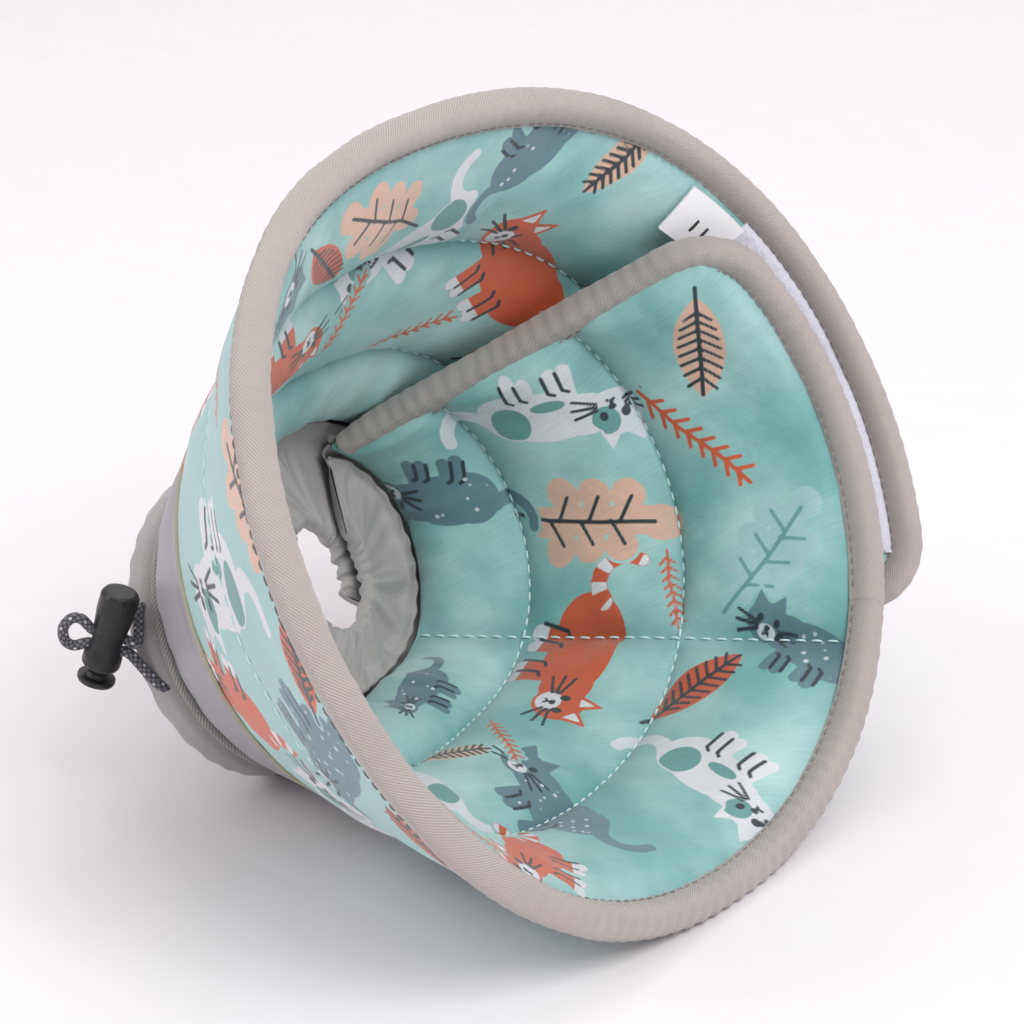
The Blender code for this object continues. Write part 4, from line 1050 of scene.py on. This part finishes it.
GROUP = {1: (1,), 2: (2,), 3: (3,), 4: (4,), 5: (5, 6)}
for k, secs in GROUP.items():
    for n in secs:
        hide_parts("lining_%d" % n, "shell_%d" % n, "padding_%d" % n)
        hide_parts("binding_%d" % n)
        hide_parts("neck_sleeve_%d" % n)
        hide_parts("reflective_strip_%d" % n)
        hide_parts("piping_%d" % n)

# ------------------------------------------------------------------ closure pads and the label
def pad(name, t0, t1, s0, s1, out, thk, mat, body, cadname, fuzz):
    t = np.linspace(t0, t1, int((t1 - t0) * 1.9) + 2)
    s = np.linspace(s0, s1, int((s1 - s0) * SLANT / 0.0009) + 2)
    T, S = np.meshgrid(t, s, indexing="ij")
    h = fuzz * (noise(T * 1.9, S * 150.0, 1) + noise(T * 3.7 + 5, S * 300.0, 2) * 0.7)
    x = np.minimum(T - t0, t1 - T) * 0.0018
    y = np.minimum(S - s0, s1 - S) * SLANT
    lip = smooth(np.minimum(x, y) / 0.0012)
    o = out(T, S)
    top, bot = surf(T, S, o + (thk + h) * (0.35 + 0.65 * lip)), surf(T, S, o - np.sign(thk) * 0.0006)
    w = np.stack([T * 0.0018, S * SLANT, T * 0], -1)
    n, m = T.shape
    P = np.concatenate([top.reshape(-1, 3), bot.reshape(-1, 3)])
    i = np.arange(n - 1); j = np.arange(m - 1); N = n * m
    walls = [np.stack([i * m, i * m + N, (i + 1) * m + N, (i + 1) * m], -1), np.stack([i * m + m - 1, (i + 1) * m + m - 1, (i + 1) * m + m - 1 + N, i * m + m - 1 + N], -1),
             np.stack([j, j + 1, j + 1 + N, j + N], -1), np.stack([(n - 1) * m + j, (n - 1) * m + j + N, (n - 1) * m + j + 1 + N, (n - 1) * m + j + 1], -1)]
    ob = mesh(name, P, np.concatenate([grid_faces(n, m), grid_faces(n, m, N, True)] + walls), mat, {"weave": np.concatenate([w.reshape(-1, 3)] * 2)})
    bm = bmesh.new(); bm.from_mesh(ob.data)
    bmesh.ops.recalc_face_normals(bm, faces=bm.faces)
    bm.to_mesh(ob.data); bm.free()
    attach(ob, body)
    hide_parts(cadname)
    return ob


lp = pad("loop_pad_fuzzy", 366.0, 414.5, 0.046, 0.50, lambda T, S: quilt_out(T, S, True) - 0.0002, -0.0012, M["loop"], "panel_6", "loop_pad", 0.0006)
hp = pad("hook_pad_rough", 9.0, 35.0, 0.12, 0.45, lambda T, S: quilt_out(T, S, False) + 0.0001, 0.0012, M["hook"], "panel_1", "hook_pad", 0.0003)

# a folded label, sewn under the binding, with two short bars as a neutral mark
t = np.linspace(356.2, 366.4, 26); s = np.linspace(0.058, 0.158, 18)
T, S = np.meshgrid(t, s, indexing="ij")
curl = quilt_out(T, S, True) - 0.0006 - 0.0026 * ((S - 0.058) / 0.1) ** 1.4
top, bot = surf(T, S, curl - 0.0007), surf(T, S, curl + 0.0001)
n, m = T.shape; N = n * m
i = np.arange(n - 1); j = np.arange(m - 1)
walls = [np.stack([i * m, i * m + N, (i + 1) * m + N, (i + 1) * m], -1), np.stack([i * m + m - 1, (i + 1) * m + m - 1, (i + 1) * m + m - 1 + N, i * m + m - 1 + N], -1),
         np.stack([j, j + 1, j + 1 + N, j + N], -1), np.stack([(n - 1) * m + j, (n - 1) * m + j + N, (n - 1) * m + j + 1 + N, (n - 1) * m + j + 1], -1)]
lab = mesh("label_folded", np.concatenate([top.reshape(-1, 3), bot.reshape(-1, 3)]), np.concatenate([grid_faces(n, m), grid_faces(n, m, N, True)] + walls), M["label"])
bm = bmesh.new(); bm.from_mesh(lab.data); bmesh.ops.recalc_face_normals(bm, faces=bm.faces); bm.to_mesh(lab.data); bm.free()
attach(lab, "panel_6"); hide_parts("size_label")
A, B, U = [], [], []
for tc in (360.3, 362.3):
    for q in range(3):
        pa, pb = (surf(tc + 0.12 * q, sv, float(quilt_out(np.array([tc + 0.12 * q]), np.array([sv]), True)[0]) - 0.0006 - 0.0026 * ((sv - 0.058) / 0.1) ** 1.4 - 0.00074)
                  for sv in (0.100, 0.128))
        A.append(pa); B.append(pb); U.append(-normal(tc, 0.11))
mk = rods("label_bars", A, B, U, 0.00022, M["mark"])
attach(mk, "panel_6")

# ------------------------------------------------------------------ drawcord
side_v = LOCK_BORE - LOCK_DOWN * np.dot(LOCK_BORE, LOCK_DOWN); side_v /= np.linalg.norm(side_v)
deep_v = np.cross(LOCK_DOWN, side_v)
lock = lambda u, v, d=0.0: LOCK_AT + LOCK_DOWN * u + side_v * v + deep_v * d
LANE = 0.0018
MIDS = ((0.05, 0.0038, 0.0016), (0.09, 0.0052, 0.0016), (0.17, 0.0064, 0.0016), (0.30, 0.0070, 0.0016), (0.55, 0.0067, 0.0016), (0.80, 0.0062, 0.0016), (0.87, 0.0061, 0.0016))


def tunnel(turn, w):
    w = min(max(w, MIDS[0][0]), MIDS[-1][0])
    a = float(np.interp(w, [q[0] for q in MIDS], [q[1] for q in MIDS]))
    return sleeve(np.array(float(turn)), w, a, 0.0016)


def lead(turn, sign, far):
    near = turn - sign * 27.0
    pts = [tunnel(far + (near - far) * i / 12, 0.86) for i in range(12)] if abs(near - far) > 5 else []
    pts.append(tunnel(near, 0.87))
    for back, w in ((19.0, 0.84), (11.0, 0.73), (5.0, 0.55), (1.6, 0.34), (0.2, 0.18)):
        pts.append(tunnel(turn - sign * back, w))
    pts.append(sleeve(np.array(float(turn)), 0.055, 0.0042, 0.0018))
    pts.append(sleeve(np.array(float(turn)), -0.02, 0.0032, 0.0056))
    return pts


def through(points, per=12):
    p = [points[0] * 2 - points[1]] + list(points) + [points[-1] * 2 - points[-2]]
    fine = []
    for i in range(1, len(p) - 2):
        for k in range(per):
            u = k / per
            fine.append(0.5 * (2 * p[i] + (p[i + 1] - p[i - 1]) * u + (2 * p[i - 1] - 5 * p[i] + 4 * p[i + 1] - p[i + 2]) * u * u
                               + (3 * p[i] - p[i - 1] - 3 * p[i + 1] + p[i + 2]) * u ** 3))
    fine.append(points[-1])
    return np.array(fine)


low, high = lead(EXIT_LOW, 1.0, BREAKS[2] + 1.05), lead(EXIT_HIGH, -1.0, BREAKS[3] - 1.05)
outside = [lock(LANE, -0.0062), lock(LANE, -0.0035), lock(LANE, 0.0), lock(LANE, 0.0040),
           lock(0.0036, 0.0072), lock(0.0030, 0.0096), lock(0.0, 0.0108), lock(-0.0030, 0.0096), lock(-0.0036, 0.0072),
           lock(-LANE, 0.0040), lock(-LANE, 0.0), lock(-LANE, -0.0035), lock(-LANE, -0.0070)]
whole = through(low + outside + high[::-1])
ia, ib = (len(low) - 2) * 12, (len(low) + len(outside) + 1) * 12
free = resample(whole[ia:ib + 1], 0.0005)
hid1, hid2 = resample(whole[:ia + 1], 0.0010), resample(whole[ib:], 0.0010)
fc = tube_mesh("drawcord_free", free, CORD_R, M["cord"], 16)
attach(fc, "root"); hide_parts("drawcord_3")
h1 = tube_mesh("drawcord_lead_low", hid1, CORD_R * 0.97, M["cord"], 10)
h2 = tube_mesh("drawcord_lead_high", hid2, CORD_R * 0.97, M["cord"], 10)
for o in (h1, h2):
    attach(o, "root")

# ------------------------------------------------------------------ CAD nodes that stay
def dress(node, mat, bevel=0.0):
    o = CAD[node]
    o.data.materials.clear()
    o.data.materials.append(mat)
    if bevel:
        b = o.modifiers.new("edge", "BEVEL")
        b.width, b.segments, b.limit_method, b.angle_limit = bevel, 3, "ANGLE", math.radians(35)
        b.harden_normals = False


dress("cord_lock_barrel", M["lock"])
dress("cord_lock_plunger", M["lock"])
dress("lock_spring", M["steel"])
for n in (1, 2, 4, 5, 6):
    o = CAD["drawcord_%d" % n]
    o.data.materials.clear()
    o.data.materials.append(plain("drawcord_plain_%d" % n, lin(50, 50, 54), lin(88, 88, 92), 0.8, 1500.0))
for o in CAD.values():
    if not o.hide_render:
        try:
            o.data.shade_auto_smooth(angle=math.radians(35))
        except Exception:
            pass

# ------------------------------------------------------------------ stage, light, camera
# a flat floor all round, with a pale wall far outside every view's camera
bm = bmesh.new()
cam_at = np.array((0.35327, -0.52077, 0.33605))
prof = [(0.6, 0.0), (1.3, 0.0), (2.4, 0.0)] + [(2.4 + 0.8 * math.sin(a), 0.8 - 0.8 * math.cos(a)) for a in np.radians(np.arange(15, 91, 15))] + [(3.2, 2.4)]
rows = [[bm.verts.new((d * math.cos(a), d * math.sin(a), z)) for a in np.radians(np.arange(0, 360, 7.5))] for d, z in prof]
bm.faces.new(rows[0])
for r0, r1 in zip(rows, rows[1:]):
    for i in range(len(r0)):
        j = (i + 1) % len(r0)
        bm.faces.new((r0[i], r1[i], r1[j], r0[j]))
me = bpy.data.meshes.new("studio_floor")
bm.to_mesh(me); bm.free()
me.materials.append(_stage_m)
me.shade_smooth()
floor = bpy.data.objects.new("studio_floor", me)
bpy.context.scene.collection.objects.link(floor)

w = bpy.data.worlds.new("studio")
bpy.context.scene.world = w
w.use_nodes = True
w.node_tree.nodes["Background"].inputs[0].default_value = (1.0, 0.985, 0.995, 1)
w.node_tree.nodes["Background"].inputs[1].default_value = 0.70


def area(name, at, to, size, power, colour=(1, 1, 1)):
    l = bpy.data.lights.new(name, "AREA")
    l.shape, l.size, l.energy, l.color = "SQUARE", size, power, colour
    o = bpy.data.objects.new(name, l)
    o.location = at
    o.rotation_euler = (Vector(to) - Vector(at)).to_track_quat("-Z", "Y").to_euler()
    bpy.context.scene.collection.objects.link(o)


area("key", (0.9, -0.35, 1.15), (0, 0, 0.08), 0.7, 11.0)
area("left", (-0.9, -0.9, 0.9), (0, 0, 0.08), 0.9, 6.5)
area("back", (-0.4, 1.0, 1.2), (0, 0, 0.08), 0.9, 5.0)

cam = bpy.data.cameras.new("camera")
cam.sensor_width = 36.0
cam.lens = 2847.9 / 1024 * 36.0
cam.clip_start = 0.01
co = bpy.data.objects.new("camera", cam)
right, down, fwd = Vector((0.834963, 0.550201, 0.010785)), Vector((0.220127, -0.315965, -0.922881)), Vector((-0.504363, 0.772945, -0.384933))
co.matrix_world = Matrix(((right.x, -down.x, -fwd.x, cam_at[0]), (right.y, -down.y, -fwd.y, cam_at[1]), (right.z, -down.z, -fwd.z, cam_at[2]), (0, 0, 0, 1)))
bpy.context.scene.collection.objects.link(co)
bpy.context.scene.camera = co
bpy.context.scene.view_settings.view_transform = "Standard"
